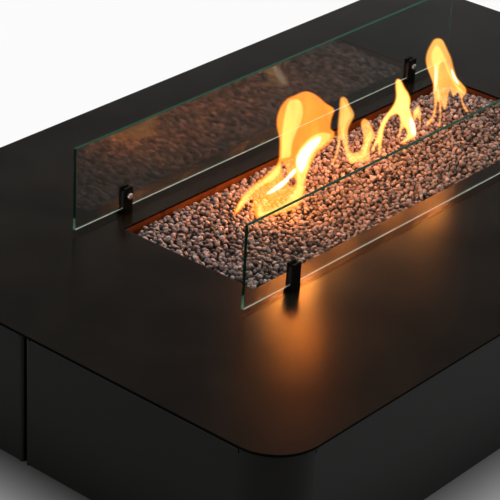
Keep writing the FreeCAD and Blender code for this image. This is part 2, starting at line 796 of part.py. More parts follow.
def plinth():
    """Two folded channels and two end plates, with the bolts and foot nuts."""
    fasteners = []
    foot_hole = "foot_stem_radius + foot_clearance"
    for side, label in ((-1, "front"), (1, "rear")):
        wall = body(f"plinth_{label}")
        face = sketch(wall, f"plinth_{label}_profile", "YZ_Plane")
        outer = f"{side} * {PLINTH_Y}"
        inner = f"{side} * ({PLINTH_Y} - plinth_sheet)"
        reach = f"{side} * ({PLINTH_Y} - plinth_sheet - plinth_flange)"
        low = "plinth_clearance"
        low_in = "plinth_clearance + plinth_sheet"
        high = PAN_UNDER
        high_in = f"{PAN_UNDER} - plinth_sheet"
        outline(face, [(outer, low), (reach, low), (reach, low_in), (inner, low_in),
                       (inner, high_in), (reach, high_in), (reach, high), (outer, high)])
        pad(wall, face, f"2 * ({PLINTH_X} - plinth_sheet)", centred=True)
        feet = sketch(wall, f"plinth_{label}_foot_holes", "XY_Plane", "plinth_clearance + plinth_sheet")
        bolts = sketch(wall, f"plinth_{label}_bolt_holes", "XY_Plane", PAN_UNDER)
        for end in (-1, 1):
            circle(feet, f"{end} * {FOOT_X}", f"{side} * {FOOT_Y}", foot_hole)
        for x, y in PLINTH_BOLTS:
            if value(y) * side > 0:
                circle(bolts, x, y, PLINTH_BOLT_HOLE)
        pocket(wall, feet, "plinth_sheet")
        pocket(wall, bolts, "plinth_sheet")
        node(wall, f"plinth_{label}")
    for end, label in ((-1, "left"), (1, "right")):
        xs = [f"{end} * {PLINTH_X}", f"{end} * ({PLINTH_X} - plinth_sheet)"]
        xs = xs if end < 0 else xs[::-1]
        plate = box(f"plinth_{label}", (xs[0], f"-{PLINTH_Y}", "plinth_clearance"),
                    (xs[1], PLINTH_Y, PAN_UNDER))
        node(plate, f"plinth_{label}")
    for index, (x, y) in enumerate(PLINTH_BOLTS):
        under = f"{PAN_UNDER} - plinth_sheet"
        length = "pan_sheet + plinth_sheet + nut_height * stud_radius + bolt_tail"
        fasteners.append(bolt(f"plinth_bolt_{index}", (x, y, under), Z_AXIS, "stud_radius", length))
        fasteners.append(thread_nut(f"plinth_nut_{index}", (x, y, PAN_TOP), Z_AXIS, "stud_radius"))
    for index, (x, y) in enumerate(four_places(FOOT_X, FOOT_Y)):
        seat = "plinth_clearance + plinth_sheet"
        fasteners.append(nut(f"foot_nut_{index}", (x, y, seat), Z_AXIS, foot_hole,
                             "foot_nut_across", "foot_nut_height"))
    group("plinth_fasteners", fasteners)


def levelling_feet():
    """Four round feet, each a pad with a threaded stem and two spanner flats."""
    for end, end_name in ((-1, "left"), (1, "right")):
        for side, side_name in ((-1, "front"), (1, "rear")):
            name = f"{side_name}_{end_name}_foot"
            x = f"{end} * {FOOT_X}"
            y = f"{side} * {FOOT_Y}"
            disc = cylinder(f"{name}_disc", "foot_radius", "foot_pad", (x, y, "0"))
            edge_of = value("foot_pad")

            def top_rim(edge, level=edge_of):
                return flat_at(edge, "z", level)

            soft = rounded(f"{name}_soft", disc, "foot_pad_round", top_rim)
            hexed = hexagon(f"{name}_hex", "foot_hex_across", "foot_hex_height", (x, y, "foot_pad"))
            stem = cylinder(f"{name}_stem", "foot_stem_radius", "foot_stem_length",
                            (x, y, "foot_pad"))
            node(fuse(name, [soft, hexed, stem]), name)


# Burner

TRAY_STUDS = [(f"{step} * tray_stud_pitch", f"{side} * {TRAY_STUD_Y}")
              for side in (-1, 1) for step in (-1, 0, 1)]
TRAY_STUD_HOLE = "(tray_stud_radius + running_clearance)"


def burner_tray():
    """Folded box that hangs under the plate, with ledges for the grate."""
    tray = body("burner_tray")
    outer_x = f"({TRAY_X} + tray_sheet)"
    outer_y = f"({TRAY_Y} + tray_sheet)"
    block = sketch(tray, "tray_block", "XY_Plane", TRAY_UNDER)
    rectangle(block, (f"-{outer_x}", f"-{outer_y}"), (outer_x, outer_y))
    pad(tray, block, "tray_depth")
    brim = sketch(tray, "tray_brim", "XY_Plane", f"{PLATE_UNDER} - tray_sheet")
    brim_x = f"({outer_x} + tray_flange)"
    brim_y = f"({outer_y} + tray_flange)"
    rectangle(brim, (f"-{brim_x}", f"-{brim_y}"), (brim_x, brim_y))
    pad(tray, brim, "tray_sheet")
    hollow = sketch(tray, "tray_hollow", "XY_Plane", PLATE_UNDER)
    rectangle(hollow, (f"-{TRAY_X}", f"-{TRAY_Y}"), (TRAY_X, TRAY_Y))
    pocket(tray, hollow, "tray_depth - tray_sheet")
    ledges = sketch(tray, "tray_ledges", "XY_Plane", f"{GRATE_UNDER} - tray_sheet")
    for side in (-1, 1):
        rectangle(ledges, (f"-{TRAY_X}", f"{side} * {TRAY_Y}"),
                  (TRAY_X, f"{side} * ({TRAY_Y} - ledge_width)"))
    pad(tray, ledges, "tray_sheet")
    holes = sketch(tray, "tray_floor_holes", "XY_Plane", TRAY_FLOOR)
    circle(holes, "0", "0", "injector_radius + running_clearance")
    circle(holes, "spark_x", "spark_y", "ceramic_radius + running_clearance")
    circle(holes, "-sensor_x", "sensor_y", "sensor_radius + running_clearance")
    for x, y in four_places(f"{TRAY_X} / 2", f"{TRAY_Y} / 2"):
        circle(holes, x, y, "drain_radius")
    pocket(tray, holes, "tray_sheet")
    studs = sketch(tray, "tray_stud_holes", "XY_Plane", PLATE_UNDER)
    for x, y in TRAY_STUDS:
        circle(studs, x, y, TRAY_STUD_HOLE)
    pocket(tray, studs, "tray_sheet")
    node(tray, "burner_tray")
    pieces = []
    for index, (x, y) in enumerate(TRAY_STUDS):
        length = "tray_sheet + nut_height * tray_stud_radius + bolt_tail"
        start = (x, y, f"{PLATE_UNDER} - ({length})")
        pieces.append(cylinder(f"tray_stud_{index}", "tray_stud_radius", length, start))
        nut_low = f"{PLATE_UNDER} - tray_sheet - nut_height * tray_stud_radius"
        pieces.append(thread_nut(f"tray_nut_{index}", (x, y, nut_low), Z_AXIS, "tray_stud_radius"))
    group("tray_fasteners", pieces)


def lava_grate():
    """Slotted sheet on the tray's ledges."""
    grate = body("lava_grate")
    half_x = f"({TRAY_X} - grate_gap)"
    half_y = f"({TRAY_Y} - grate_gap)"
    face = sketch(grate, "grate_face", "XY_Plane", GRATE_UNDER)
    rectangle(face, (f"-{half_x}", f"-{half_y}"), (half_x, half_y))
    pad(grate, face, "tray_sheet")
    slot = sketch(grate, "grate_slot", "XY_Plane", GRATE_TOP)
    start = "-(grate_slot_count - 1) * grate_slot_pitch / 2"
    for side in (-1, 1):
        near = f"{side} * grate_slot_width"
        far = f"{side} * (grate_slot_width + grate_slot_length)"
        rectangle(slot, (f"{start} - grate_slot_width / 2", near),
                  (f"{start} + grate_slot_width / 2", far))
    first = pocket(grate, slot, "tray_sheet")
    repeat(grate, first, slot, "(grate_slot_count - 1) * grate_slot_pitch", "grate_slot_count")
    return node(grate, "lava_grate")


def lava_bed():
    """The stones as one heap: upright at the tray walls, sloping up to a flat crown."""
    bed = body("lava_bed")
    half_x = f"({TRAY_X} - grate_gap)"
    half_y = f"({TRAY_Y} - grate_gap)"
    shoulder = "(table_height - stone_crown - stone_edge_drop)"
    face = sketch(bed, "bed_face", "XY_Plane", GRATE_TOP)
    rectangle(face, (f"-{half_x}", f"-{half_y}"), (half_x, half_y))
    pad(bed, face, f"{shoulder} - {GRATE_TOP}")
    low = sketch(bed, "bed_shoulder", "XY_Plane", shoulder)
    rectangle(low, (f"-{half_x}", f"-{half_y}"), (half_x, half_y))
    high = sketch(bed, "bed_crown", "XY_Plane", "table_height - stone_crown")
    crown_x = f"({half_x} - stone_slope)"
    crown_y = f"({half_y} - stone_slope)"
    rectangle(high, (f"-{crown_x}", f"-{crown_y}"), (crown_x, crown_y))
    heap = bed.newObject("PartDesign::AdditiveLoft", "bed_heap")
    heap.Profile = low
    heap.Sections = [high]
    heap.Ruled = True
    return node(bed, "lava_bed")


def burner_pipe():
    """Closed tube along the table with a row of ports and an inlet hole below."""
    pipe = body("burner_pipe")
    round_face = sketch(pipe, "pipe_face", "YZ_Plane")
    circle(round_face, "0", BURNER_Z, "burner_radius")
    pad(pipe, round_face, "burner_length", centred=True)
    bore = sketch(pipe, "pipe_bore", "YZ_Plane")
    circle(bore, "0", BURNER_Z, "burner_bore")
    pocket(pipe, bore, "burner_length - 2 * (burner_radius - burner_bore)", centred=True)
    inlet = sketch(pipe, "pipe_inlet", "XY_Plane", f"{BURNER_Z} - burner_radius")
    circle(inlet, "0", "0", "injector_spigot + running_clearance")
    pocket(pipe, inlet, "burner_radius", along=True)
    port = sketch(pipe, "pipe_port", "XY_Plane", f"{BURNER_Z} + burner_radius")
    circle(port, "-(port_count - 1) * port_pitch / 2", "0", "port_radius")
    first = pocket(pipe, port, "burner_radius")
    repeat(pipe, first, port, "(port_count - 1) * port_pitch", "port_count")
    return node(pipe, "burner_pipe")


def burner_mounts():
    """Saddles under the pipe, and the injector through the tray floor."""
    saddles = []
    for step in (-1, 1):
        x = f"{step} * saddle_pitch"
        block = box(f"saddle_block_{step}", (f"{x} - saddle_length / 2", "-saddle_width / 2", TRAY_FLOOR),
                    (f"{x} + saddle_length / 2", "saddle_width / 2", BURNER_Z))
        seat = cylinder(f"saddle_seat_{step}", "burner_radius + running_clearance", "saddle_length",
                        (f"{x} - saddle_length / 2", "0", BURNER_Z), X_AXIS)
        saddles.append(cut(f"saddle_{step}", block, [seat]))
    group("burner_saddles", saddles)
    stem_top = f"({BURNER_Z} - burner_radius - injector_seat_gap)"
    spigot_top = f"({BURNER_Z} - burner_bore + injector_reach)"
    low = INJECTOR_UNDER
    stem = cylinder("injector_stem", "injector_radius", f"{stem_top} - {low}", ("0", "0", low))
    spigot = cylinder("injector_tip", "injector_spigot", f"{spigot_top} - {low}", ("0", "0", low))
    collar = hexagon("injector_hex", "injector_collar", f"{TRAY_UNDER} - {low}", ("0", "0", low))
    solid = fuse("injector_solid", [stem, spigot, collar])
    bore = cylinder("injector_channel", "injector_bore", f"{spigot_top} - {low}", ("0", "0", low))
    air_z = f"({TRAY_FLOOR} + {stem_top}) / 2"
    air_x = cylinder("injector_air_x", "injector_air_hole", "2 * injector_radius",
                     ("-injector_radius", "0", air_z), X_AXIS)
    air_y = cylinder("injector_air_y", "injector_air_hole", "2 * injector_radius",
                     ("0", "-injector_radius", air_z), Y_AXIS)
    node(cut("burner_injector", solid, [bore, air_x, air_y]), "burner_injector")


def probe(name, x, y, sleeve, rod):
    """A sleeve through the tray floor with a thinner rod out of its top."""
    low = f"{TRAY_UNDER} - tray_sheet"
    shank = cylinder(f"{name}_sleeve", sleeve, "probe_height", (x, y, low))
    collar = cylinder(f"{name}_collar", f"{sleeve} + probe_collar", "tray_sheet", (x, y, TRAY_FLOOR))
    tip = cylinder(f"{name}_rod", rod, "probe_height + probe_tip", (x, y, low))
    return node(fuse(name, [shank, collar, tip]), name)


def bent_run(name, x, start_y, end_y, level, end_z, radius, bend):
    """A rod that runs across the table and turns up at its end."""
    across = cylinder(f"{name}_across", radius, f"{start_y} - {end_y} - {bend}",
                      (x, f"{end_y} + {bend}", level), Y_AXIS)
    up = cylinder(f"{name}_up", radius, f"{end_z} - {level} - {bend}",
                  (x, end_y, f"{level} + {bend}"))
    turn = doc.addObject("Part::Torus", f"{name}_turn")
    turn.Angle3 = 90
    down = FreeCAD.Vector(0, 0, -1)
    turn.Placement = FreeCAD.Placement(FreeCAD.Vector(), FreeCAD.Rotation(down, -Y_AXIS, -X_AXIS))
    bind(turn, Radius1=bend, Radius2=radius)
    place(turn, x, f"{end_y} + {bend}", f"{level} + {bend}")
    return fuse(f"{name}_run", [across, turn, up])


def gas_runs():
    """Feed pipe, supply pipe, spark wire and sensor lead."""
    feed = ("0", f"{VALVE_BACK} - port_stub", "0", CONTROL_Z, INJECTOR_UNDER)
    solid = bent_run("feed_outer", *feed, "feed_radius", "feed_bend")
    bore = bent_run("feed_inner", *feed, "feed_bore", "feed_bend")
    node(cut("feed_pipe", solid, [bore]), "feed_pipe")
    low = ("0", VALVE_Y, INLET_TOP)
    length = f"{VALVE_UNDER} - port_stub - {INLET_TOP}"
    outer = cylinder("supply_outer", "feed_radius", length, low)
    inner = cylinder("supply_inner", "feed_bore", length, low)
    node(cut("supply_pipe", outer, [inner]), "supply_pipe")
    probe_low = f"({TRAY_UNDER} - tray_sheet)"
    spark_start = f"({PANEL_FRONT} - igniter_length)"
    spark = bent_run("spark", "spark_x", spark_start, "spark_y", CONTROL_Z, probe_low,
                     "spark_lead_radius", "lead_bend")
    node(spark, "ignition_lead")
    sensor = bent_run("sensor", "-sensor_x", VALVE_BACK, "sensor_y", CONTROL_Z, probe_low,
                      "sensor_lead_radius", "lead_bend")
    node(sensor, "thermocouple_lead")


# Controls

def gas_valve():
    """Valve block with a boss to the panel, two port stubs and the spindle bore."""
    half = "valve_length / 2"
    block = box("valve_block", (f"-{half}", VALVE_BACK, VALVE_UNDER),
                (half, VALVE_FRONT, f"{CONTROL_Z} + valve_height / 2"))
    boss = cylinder("valve_boss_piece", "valve_boss_radius", "valve_boss + sink",
                    ("0", f"{VALVE_FRONT} - sink", CONTROL_Z), Y_AXIS)
    outlet = hexagon("valve_outlet", "port_stub_radius", "port_stub + sink",
                     ("0", f"{VALVE_BACK} - port_stub", CONTROL_Z), Y_AXIS)
    inlet = hexagon("valve_inlet", "port_stub_radius", "port_stub + sink",
                    ("0", VALVE_Y, f"{VALVE_UNDER} - port_stub"))
    solid = fuse("valve_solid", [block, boss, outlet, inlet])
    bore = cylinder("valve_bore", "spindle_radius + running_clearance / 2", "spindle_depth + cut_over",
                    ("0", f"{PANEL_BACK} - spindle_depth", CONTROL_Z), Y_AXIS)
    node(cut("gas_valve", solid, [bore]), "gas_valve")
    rod_start = f"{PANEL_BACK} - spindle_depth + spindle_end_gap"
    rod_length = "spindle_depth - spindle_end_gap + panel_sheet + spindle_reach"
    rod = cylinder("spindle_rod", "spindle_radius", rod_length, ("0", rod_start, CONTROL_Z), Y_AXIS)
    node(rod, "valve_spindle")


def control_panel():
    """Recessed panel: back plate, side walls and a flange behind the shell's wall."""
    inner_low = [f"{PANEL_X} - window_length / 2", f"{CONTROL_Z} - window_height / 2"]
    inner_high = [f"{PANEL_X} + window_length / 2", f"{CONTROL_Z} + window_height / 2"]
    wall_back = f"({WALL_Y} - wall_sheet)"

    def frame_box(name, extra, low_y, high_y):
        low = (f"{inner_low[0]} - {extra}", low_y, f"{inner_low[1]} - {extra}")
        high = (f"{inner_high[0]} + {extra}", high_y, f"{inner_high[1]} + {extra}")
        return box(name, low, high)

    case = frame_box("panel_case", "panel_sheet", PANEL_BACK, wall_back)
    flange_reach = "(panel_sheet + panel_flange)"
    flange = frame_box("panel_brim", flange_reach, f"{wall_back} - panel_sheet", wall_back)
    solid = fuse("panel_solid", [case, flange])
    hollow = frame_box("panel_hollow", "0", PANEL_FRONT, wall_back)
    through = f"{PANEL_BACK} - cut_over"
    knob_hole = cylinder("panel_knob_hole", "spindle_radius + spindle_window",
                         "panel_sheet + 2 * cut_over", ("0", through, CONTROL_Z), Y_AXIS)
    button_hole = cylinder("panel_button_hole", "igniter_radius + running_clearance",
                           "panel_sheet + 2 * cut_over", ("button_pitch", through, CONTROL_Z), Y_AXIS)
    screws = []
    holes = []
    inset = "(panel_sheet + panel_flange / 2)"
    for index, (end, side) in enumerate(((-1, -1), (-1, 1), (1, -1), (1, 1))):
        x = f"({PANEL_X} + {end} * (window_length / 2 + {inset}))"
        z = f"({CONTROL_Z} + {side} * (window_height / 2 + {inset}))"
        seat = (x, f"{wall_back} - panel_sheet", z)
        hole = cylinder(f"panel_screw_hole_{index}", "panel_screw_radius + running_clearance",
                        "panel_sheet", seat, Y_AXIS)
        holes.append(hole)
        screws.append(bolt(f"panel_screw_{index}", seat, Y_AXIS, "panel_screw_radius", "panel_sheet"))
    node(cut("control_panel", solid, [hollow, knob_hole, button_hole, *holes]), "control_panel")
    group("panel_screws", screws)


def control_knob():
    """Round knob with a raised grip bar and a blind bore over the spindle."""
    start = f"({PANEL_FRONT} + knob_gap)"
    base = cylinder("knob_disc", "knob_radius", "knob_base", ("0", start, CONTROL_Z), Y_AXIS)
    reach = "(knob_radius - knob_bar_inset)"
    bar = box("knob_bar", ("-knob_grip / 2", start, f"{CONTROL_Z} - {reach}"),
              ("knob_grip / 2", f"{start} + knob_length", f"{CONTROL_Z} + {reach}"))
    hub = cylinder("knob_hub", "knob_hub_radius", "knob_length - knob_hub_drop",
                   ("0", start, CONTROL_Z), Y_AXIS)
    bar_end = value(f"{start} + knob_length")
    soft_bar = rounded("knob_soft_bar", bar, "knob_bar_round", lambda edge: flat_at(edge, "y", bar_end))
    solid = fuse("knob_solid", [base, soft_bar, hub])
    bore = cylinder("knob_bore", "spindle_radius + running_clearance / 2",
                    "knob_length - knob_cap", ("0", start, CONTROL_Z), Y_AXIS)
    return node(cut("control_knob", solid, [bore]), "control_knob")


def igniter():
    """Igniter barrel with a collar on the panel, and its round push button."""
    back = f"({PANEL_FRONT} - igniter_length)"
    face = f"({PANEL_FRONT} + igniter_collar_height)"
    barrel = cylinder("igniter_barrel", "igniter_radius", "igniter_length",
                      ("button_pitch", back, CONTROL_Z), Y_AXIS)
    collar = cylinder("igniter_ring", "igniter_collar", "igniter_collar_height",
                      ("button_pitch", PANEL_FRONT, CONTROL_Z), Y_AXIS)
    solid = fuse("igniter_solid", [barrel, collar])
    depth = "button_length - button_proud + button_stroke + button_end_gap"
    bore = cylinder("igniter_bore", "button_radius + running_clearance", depth,
                    ("button_pitch", f"{face} - ({depth})", CONTROL_Z), Y_AXIS)
    node(cut("igniter_body", solid, [bore]), "igniter_body")
    cap = cylinder("button_blank", "button_radius", "button_length",
                   ("button_pitch", f"{face} + button_proud - button_length", CONTROL_Z), Y_AXIS)
    front = value(f"{face} + button_proud")
    node(rounded("igniter_button", cap, "button_round", lambda edge: flat_at(edge, "y", front)),
         "igniter_button")


def inlet_fitting():
    """Bulkhead fitting: hexagon and collar on the pan, locknut and threaded stub below."""
    body_piece = hexagon("inlet_hex", "inlet_body", "inlet_body_height + inlet_collar_height",
                         ("0", VALVE_Y, PAN_TOP))
    collar = cylinder("inlet_ring", "inlet_collar", "inlet_collar_height", ("0", VALVE_Y, PAN_TOP))
    nut_low = f"({PAN_UNDER} - inlet_nut_height)"
    shoulder = cylinder("inlet_shank", "inlet_shoulder", f"{PAN_TOP} - {nut_low}", ("0", VALVE_Y, nut_low))
    stub_low = f"({nut_low} - inlet_length)"
    stub = cylinder("inlet_stub", "inlet_radius", f"{PAN_TOP} - {stub_low}", ("0", VALVE_Y, stub_low))
    solid = fuse("inlet_solid", [body_piece, collar, shoulder, stub])
    bore = cylinder("inlet_bore", "feed_bore", f"{INLET_TOP} - {stub_low}", ("0", VALVE_Y, stub_low))
    node(cut("inlet_fitting", solid, [bore]), "inlet_fitting")
    lock = nut("inlet_locknut", ("0", VALVE_Y, nut_low), Z_AXIS, "inlet_shoulder + running_clearance",
               "inlet_nut_across", "inlet_nut_height")
    node(lock, "inlet_locknut")


# Wind screens

def glass_pane(name, side):
    """A clear pane with bevelled edges."""
    pane = body(name)
    face = sketch(pane, f"{name}_face", "XY_Plane", GLASS_LOW)
    near = f"{side} * glass_offset - glass_thickness / 2"
    far = f"{side} * glass_offset + glass_thickness / 2"
    rectangle(face, ("-glass_length / 2 - screen_shift", near), ("glass_length / 2 - screen_shift", far))
    pad(pane, face, "glass_height")
    dress(pane, "Chamfer", "glass_chamfer", lambda edge: True)
    return node(pane, name)


def glass_clips():
    """Slotted blocks, their rubber liners, fixing screws and clamp screws."""
    pads = []
    fixings = []
    for end, end_name in ((-1, "left"), (1, "right")):
        for side, side_name in ((-1, "front"), (1, "rear")):
            name = f"{side_name}_{end_name}"
            x = f"({end} * clip_offset - screen_shift)"
            y = f"{side} * glass_offset"
            half = "clip_width / 2"
            top = "table_height + clip_height"
            block = box(f"{name}_clip_block", (f"{x} - {half}", f"{y} - clip_depth / 2", "table_height"),
                        (f"{x} + {half}", f"{y} + clip_depth / 2", top))
            slot_half = f"{SLOT_WIDTH} / 2"
            slot = box(f"{name}_clip_slot", (f"{x} - {half}", f"{y} - {slot_half}", SLOT_FLOOR),
                       (f"{x} + {half}", f"{y} + {slot_half}", top))
            inner = f"({y} - {side} * ({slot_half}))"
            outer = f"({y} - {side} * clip_depth / 2)"
            inward = Y_AXIS * -side
            wall_hole = cylinder(f"{name}_clamp_hole", "clamp_radius + running_clearance / 2",
                                 "clip_wall", (x, inner, CLAMP_Z), inward)
            screw_hole = cylinder(f"{name}_screw_hole", "clip_screw_radius + running_clearance",
                                  "clip_screw_grip", (x, y, "table_height"))
            node(cut(f"{name}_clip", block, [slot, wall_hole, screw_hole]), f"{name}_clip")
            pad_top = f"{top} - liner_drop"
            liner = box(f"{name}_liner_block", (f"{x} - {half}", f"{y} - {slot_half}", SLOT_FLOOR),
                        (f"{x} + {half}", f"{y} + {slot_half}", pad_top))
            room = f"({slot_half} - {PAD_WALL})"
            recess = box(f"{name}_liner_recess",
                         (f"{x} - {half}", f"{y} - {room}", f"{GLASS_LOW} - pad_clearance"),
                         (f"{x} + {half}", f"{y} + {room}", pad_top))
            pads.append(cut(f"{name}_liner", liner, [recess]))
            grip = "plate_thickness + clip_screw_grip - clip_screw_end_gap"
            fixings.append(bolt(f"{name}_fixing", (x, y, PLATE_UNDER), Z_AXIS, "clip_screw_radius", grip))
            head_start = f"({outer} - {side} * clamp_gap)"
            shank_start = f"({inner} - {side} * clamp_gap)"
            shank = cylinder(f"{name}_clamp_shank", "clamp_radius", "clip_wall + sink",
                             (x, shank_start, CLAMP_Z), inward)
            head = cylinder(f"{name}_clamp_head", "clamp_head_radius", "clamp_head_height",
                            (x, head_start, CLAMP_Z), inward)
            face = value(f"{head_start} - {side} * clamp_head_height")
            dome = rounded(f"{name}_clamp_dome", head, "clamp_dome",
                           lambda edge, level=face: flat_at(edge, "y", level))
            half_slot = "clamp_slot_width / 2"
            floor = f"({head_start} - {side} * (clamp_head_height - clamp_slot_depth))"
            crest = f"({head_start} - {side} * (clamp_head_height + cut_over))"
            ys = (floor, crest) if side < 0 else (crest, floor)
            groove_reach = "(clamp_head_radius + cut_over)"
            groove = box(f"{name}_clamp_groove",
                         (f"{x} - {groove_reach}", ys[0], f"{CLAMP_Z} - {half_slot}"),
                         (f"{x} + {groove_reach}", ys[1], f"{CLAMP_Z} + {half_slot}"))
            solid = fuse(f"{name}_clamp_solid", [dome, shank])
            node(cut(f"{name}_screw", solid, [groove]), f"{name}_screw")
    group("glass_pads", pads)
    group("clip_screws", fixings)


top_plate()
node(outer_shell("front_shell", -1), "front_shell")
rear_shell()
seam_parts()
frame()
base_pan()
plinth()
levelling_feet()
burner_tray()
lava_grate()
lava_bed()
burner_pipe()
burner_mounts()
probe("spark_electrode", "spark_x", "spark_y", "ceramic_radius", "spark_radius")
probe("thermocouple", "-sensor_x", "sensor_y", "sensor_radius", "sensor_radius / 2")
gas_runs()
gas_valve()
control_panel()
control_knob()
igniter()
inlet_fitting()
glass_pane("front_glass", -1)
glass_pane("rear_glass", 1)
glass_clips()

doc.recompute()
for item in doc.Objects:
    if "Invalid" in item.State or "Error" in item.State:
        raise RuntimeError(f"{item.Name} failed: {item.State}")
for item in NODES:
    if item.Shape.isNull() or not item.Shape.isValid():
        raise RuntimeError(f"{item.Label} has a bad shape")

os.makedirs("parts", exist_ok=True)
for item in NODES:
    item.Shape.exportStep(f"parts/{item.Label}.step")
print(f"{len(NODES)} nodes, {sum(len(item.Shape.Solids) for item in NODES)} solids")
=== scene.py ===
import json
import math

import bmesh
import bpy
import numpy as np
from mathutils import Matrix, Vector


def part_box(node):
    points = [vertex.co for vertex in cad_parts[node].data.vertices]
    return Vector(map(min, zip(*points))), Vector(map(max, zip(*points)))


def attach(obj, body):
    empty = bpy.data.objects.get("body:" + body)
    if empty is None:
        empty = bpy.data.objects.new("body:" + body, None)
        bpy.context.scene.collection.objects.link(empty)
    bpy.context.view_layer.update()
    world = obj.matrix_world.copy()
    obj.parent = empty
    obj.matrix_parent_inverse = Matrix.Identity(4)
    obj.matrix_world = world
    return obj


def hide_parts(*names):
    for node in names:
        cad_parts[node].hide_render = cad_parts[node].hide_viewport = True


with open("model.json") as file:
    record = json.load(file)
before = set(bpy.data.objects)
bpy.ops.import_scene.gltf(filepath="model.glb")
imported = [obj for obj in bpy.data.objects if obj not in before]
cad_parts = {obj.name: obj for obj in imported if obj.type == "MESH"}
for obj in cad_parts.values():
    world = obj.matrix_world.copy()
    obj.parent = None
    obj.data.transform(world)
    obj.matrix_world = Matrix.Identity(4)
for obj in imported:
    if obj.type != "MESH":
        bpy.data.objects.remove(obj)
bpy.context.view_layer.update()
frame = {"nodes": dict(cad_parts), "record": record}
NODES = frame["nodes"]

# Places that come from the model, in metres
PLATE_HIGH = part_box("top_plate")[1]
PLATE_TOP = PLATE_HIGH.z
BED_LOW, BED_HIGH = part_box("lava_bed")
GLASS_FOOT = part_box("front_glass")[0].z

# Camera, solved from the picture's vanishing points
CAMERA_PLACE = Vector((-2.8288, -2.0900, 2.0720))
CAMERA_AZIMUTH = math.radians(39.41)
CAMERA_DOWN = math.radians(28.24)
CAMERA_ROLL = math.radians(3.11)
CAMERA_LENS = 161.35
CAMERA_SENSOR = 36
PICTURE_SIZE = 500

# The plain white around the table, the flames' light, and that light as the plate mirrors it
WHITE = 0.965
FLAME_TINT = (1.0, 0.27, 0.05)
MIRRORED_TINT = (1.0, 0.19, 0.02)


# Short ways to write node materials

OPENNESS_SAMPLES = 6


class Finish:
    """A material, or the world, whose nodes are added and joined by short calls."""

    def __init__(self, name, world=None):
        self.owner = world or bpy.data.materials.new(name)
        self.owner.use_nodes = True
        self.tree = self.owner.node_tree
        self.tree.nodes.clear()
        self.output = self.tree.nodes.new("ShaderNodeOutputWorld" if world else "ShaderNodeOutputMaterial")

    def add(self, kind, settings=None, **inputs):
        """A node; inputs are values or other nodes' sockets, named with _ for a space."""
        node = self.tree.nodes.new(kind)
        for key, setting in (settings or {}).items():
            setattr(node, key, setting)
        for key, content in inputs.items():
            self.feed(node.inputs[key.replace("_", " ")], content)
        return node

    def feed(self, socket, content):
        """Give a socket a value or join another socket to it."""
        if isinstance(content, bpy.types.NodeSocket):
            self.tree.links.new(content, socket)
        elif isinstance(content, tuple) and len(content) == 3 and socket.type == "RGBA":
            socket.default_value = (*content, 1.0)
        else:
            socket.default_value = content

    def place(self, stretch=(1, 1, 1)):
        """The object's own coordinates in metres, stretched for grain."""
        coordinates = self.add("ShaderNodeTexCoord")
        mapping = self.add("ShaderNodeMapping", Vector=coordinates.outputs["Object"], Scale=stretch)
        return mapping.outputs["Vector"]

    def noise(self, scale, detail=3.0, roughness=0.5, stretch=(1, 1, 1)):
        """Cloudy noise; scale is in cells per metre."""
        node = self.add("ShaderNodeTexNoise", Vector=self.place(stretch), Scale=scale, Detail=detail,
                        Roughness=roughness)
        return node.outputs["Fac"]

    def ramp(self, amount, low, high, start=0.35, end=0.65):
        """A colour between two, by an amount between start and end."""
        node = self.add("ShaderNodeValToRGB", Fac=amount)
        node.color_ramp.elements[0].position = start
        node.color_ramp.elements[1].position = end
        node.color_ramp.elements[0].color = (*low, 1.0)
        node.color_ramp.elements[1].color = (*high, 1.0)
        return node.outputs["Color"]

    def times(self, first, second):
        """Two colours multiplied."""
        node = self.add("ShaderNodeMix", {"data_type": "RGBA", "blend_type": "MULTIPLY"})
        node.inputs["Factor"].default_value = 1.0
        self.feed(node.inputs[6], first)
        self.feed(node.inputs[7], second)
        return node.outputs[2]

    def span(self, amount, low, high, start=0.3, end=0.7, kind="LINEAR"):
        """A number between two, by an amount between start and end."""
        node = self.add("ShaderNodeMapRange", {"interpolation_type": kind}, Value=amount)
        for key, number in (("From Min", start), ("From Max", end), ("To Min", low), ("To Max", high)):
            node.inputs[key].default_value = number
        return node.outputs["Result"]

    def maths(self, operation, first, second=0.0):
        """One sum on two numbers or sockets."""
        node = self.add("ShaderNodeMath", {"operation": operation})
        self.feed(node.inputs[0], first)
        self.feed(node.inputs[1], second)
        return node.outputs["Value"]

    def bump(self, height, distance):
        """Relief from a height; distance is its depth in metres."""
        node = self.add("ShaderNodeBump", Height=height, Distance=distance, Strength=1.0)
        return node.outputs["Normal"]

    def openness(self, reach):
        """How open a point is to what lies within reach, in metres: 0 in a gap, 1 in the open."""
        node = self.add("ShaderNodeAmbientOcclusion", {"samples": OPENNESS_SAMPLES}, Distance=reach)
        return node.outputs["AO"]

    def blend(self, share, first, second):
        """Two shaders mixed; share is the second one's."""
        node = self.add("ShaderNodeMixShader", Fac=share)
        self.tree.links.new(first, node.inputs[1])
        self.tree.links.new(second, node.inputs[2])
        return node.outputs["Shader"]

    def finish(self, shader, volume=None):
        """Join the shader to the output and hand the material over."""
        if shader is not None:
            self.tree.links.new(shader, self.output.inputs["Surface"])
        if volume is not None:
            self.tree.links.new(volume, self.output.inputs["Volume"])
        return self.owner


# Painted shade: how open a crevice is where its gloss begins and where it is whole, and the same for how
# far a side faces up or down, with the share of gloss that an upright side keeps; where the gloss goes the
# coat shows darker
CREVICE_SHADE_SPAN = (0.35, 0.90)
SIDE_SHADE_SPAN = (0.2, 0.8)
UPRIGHT_SHARE = 0.1


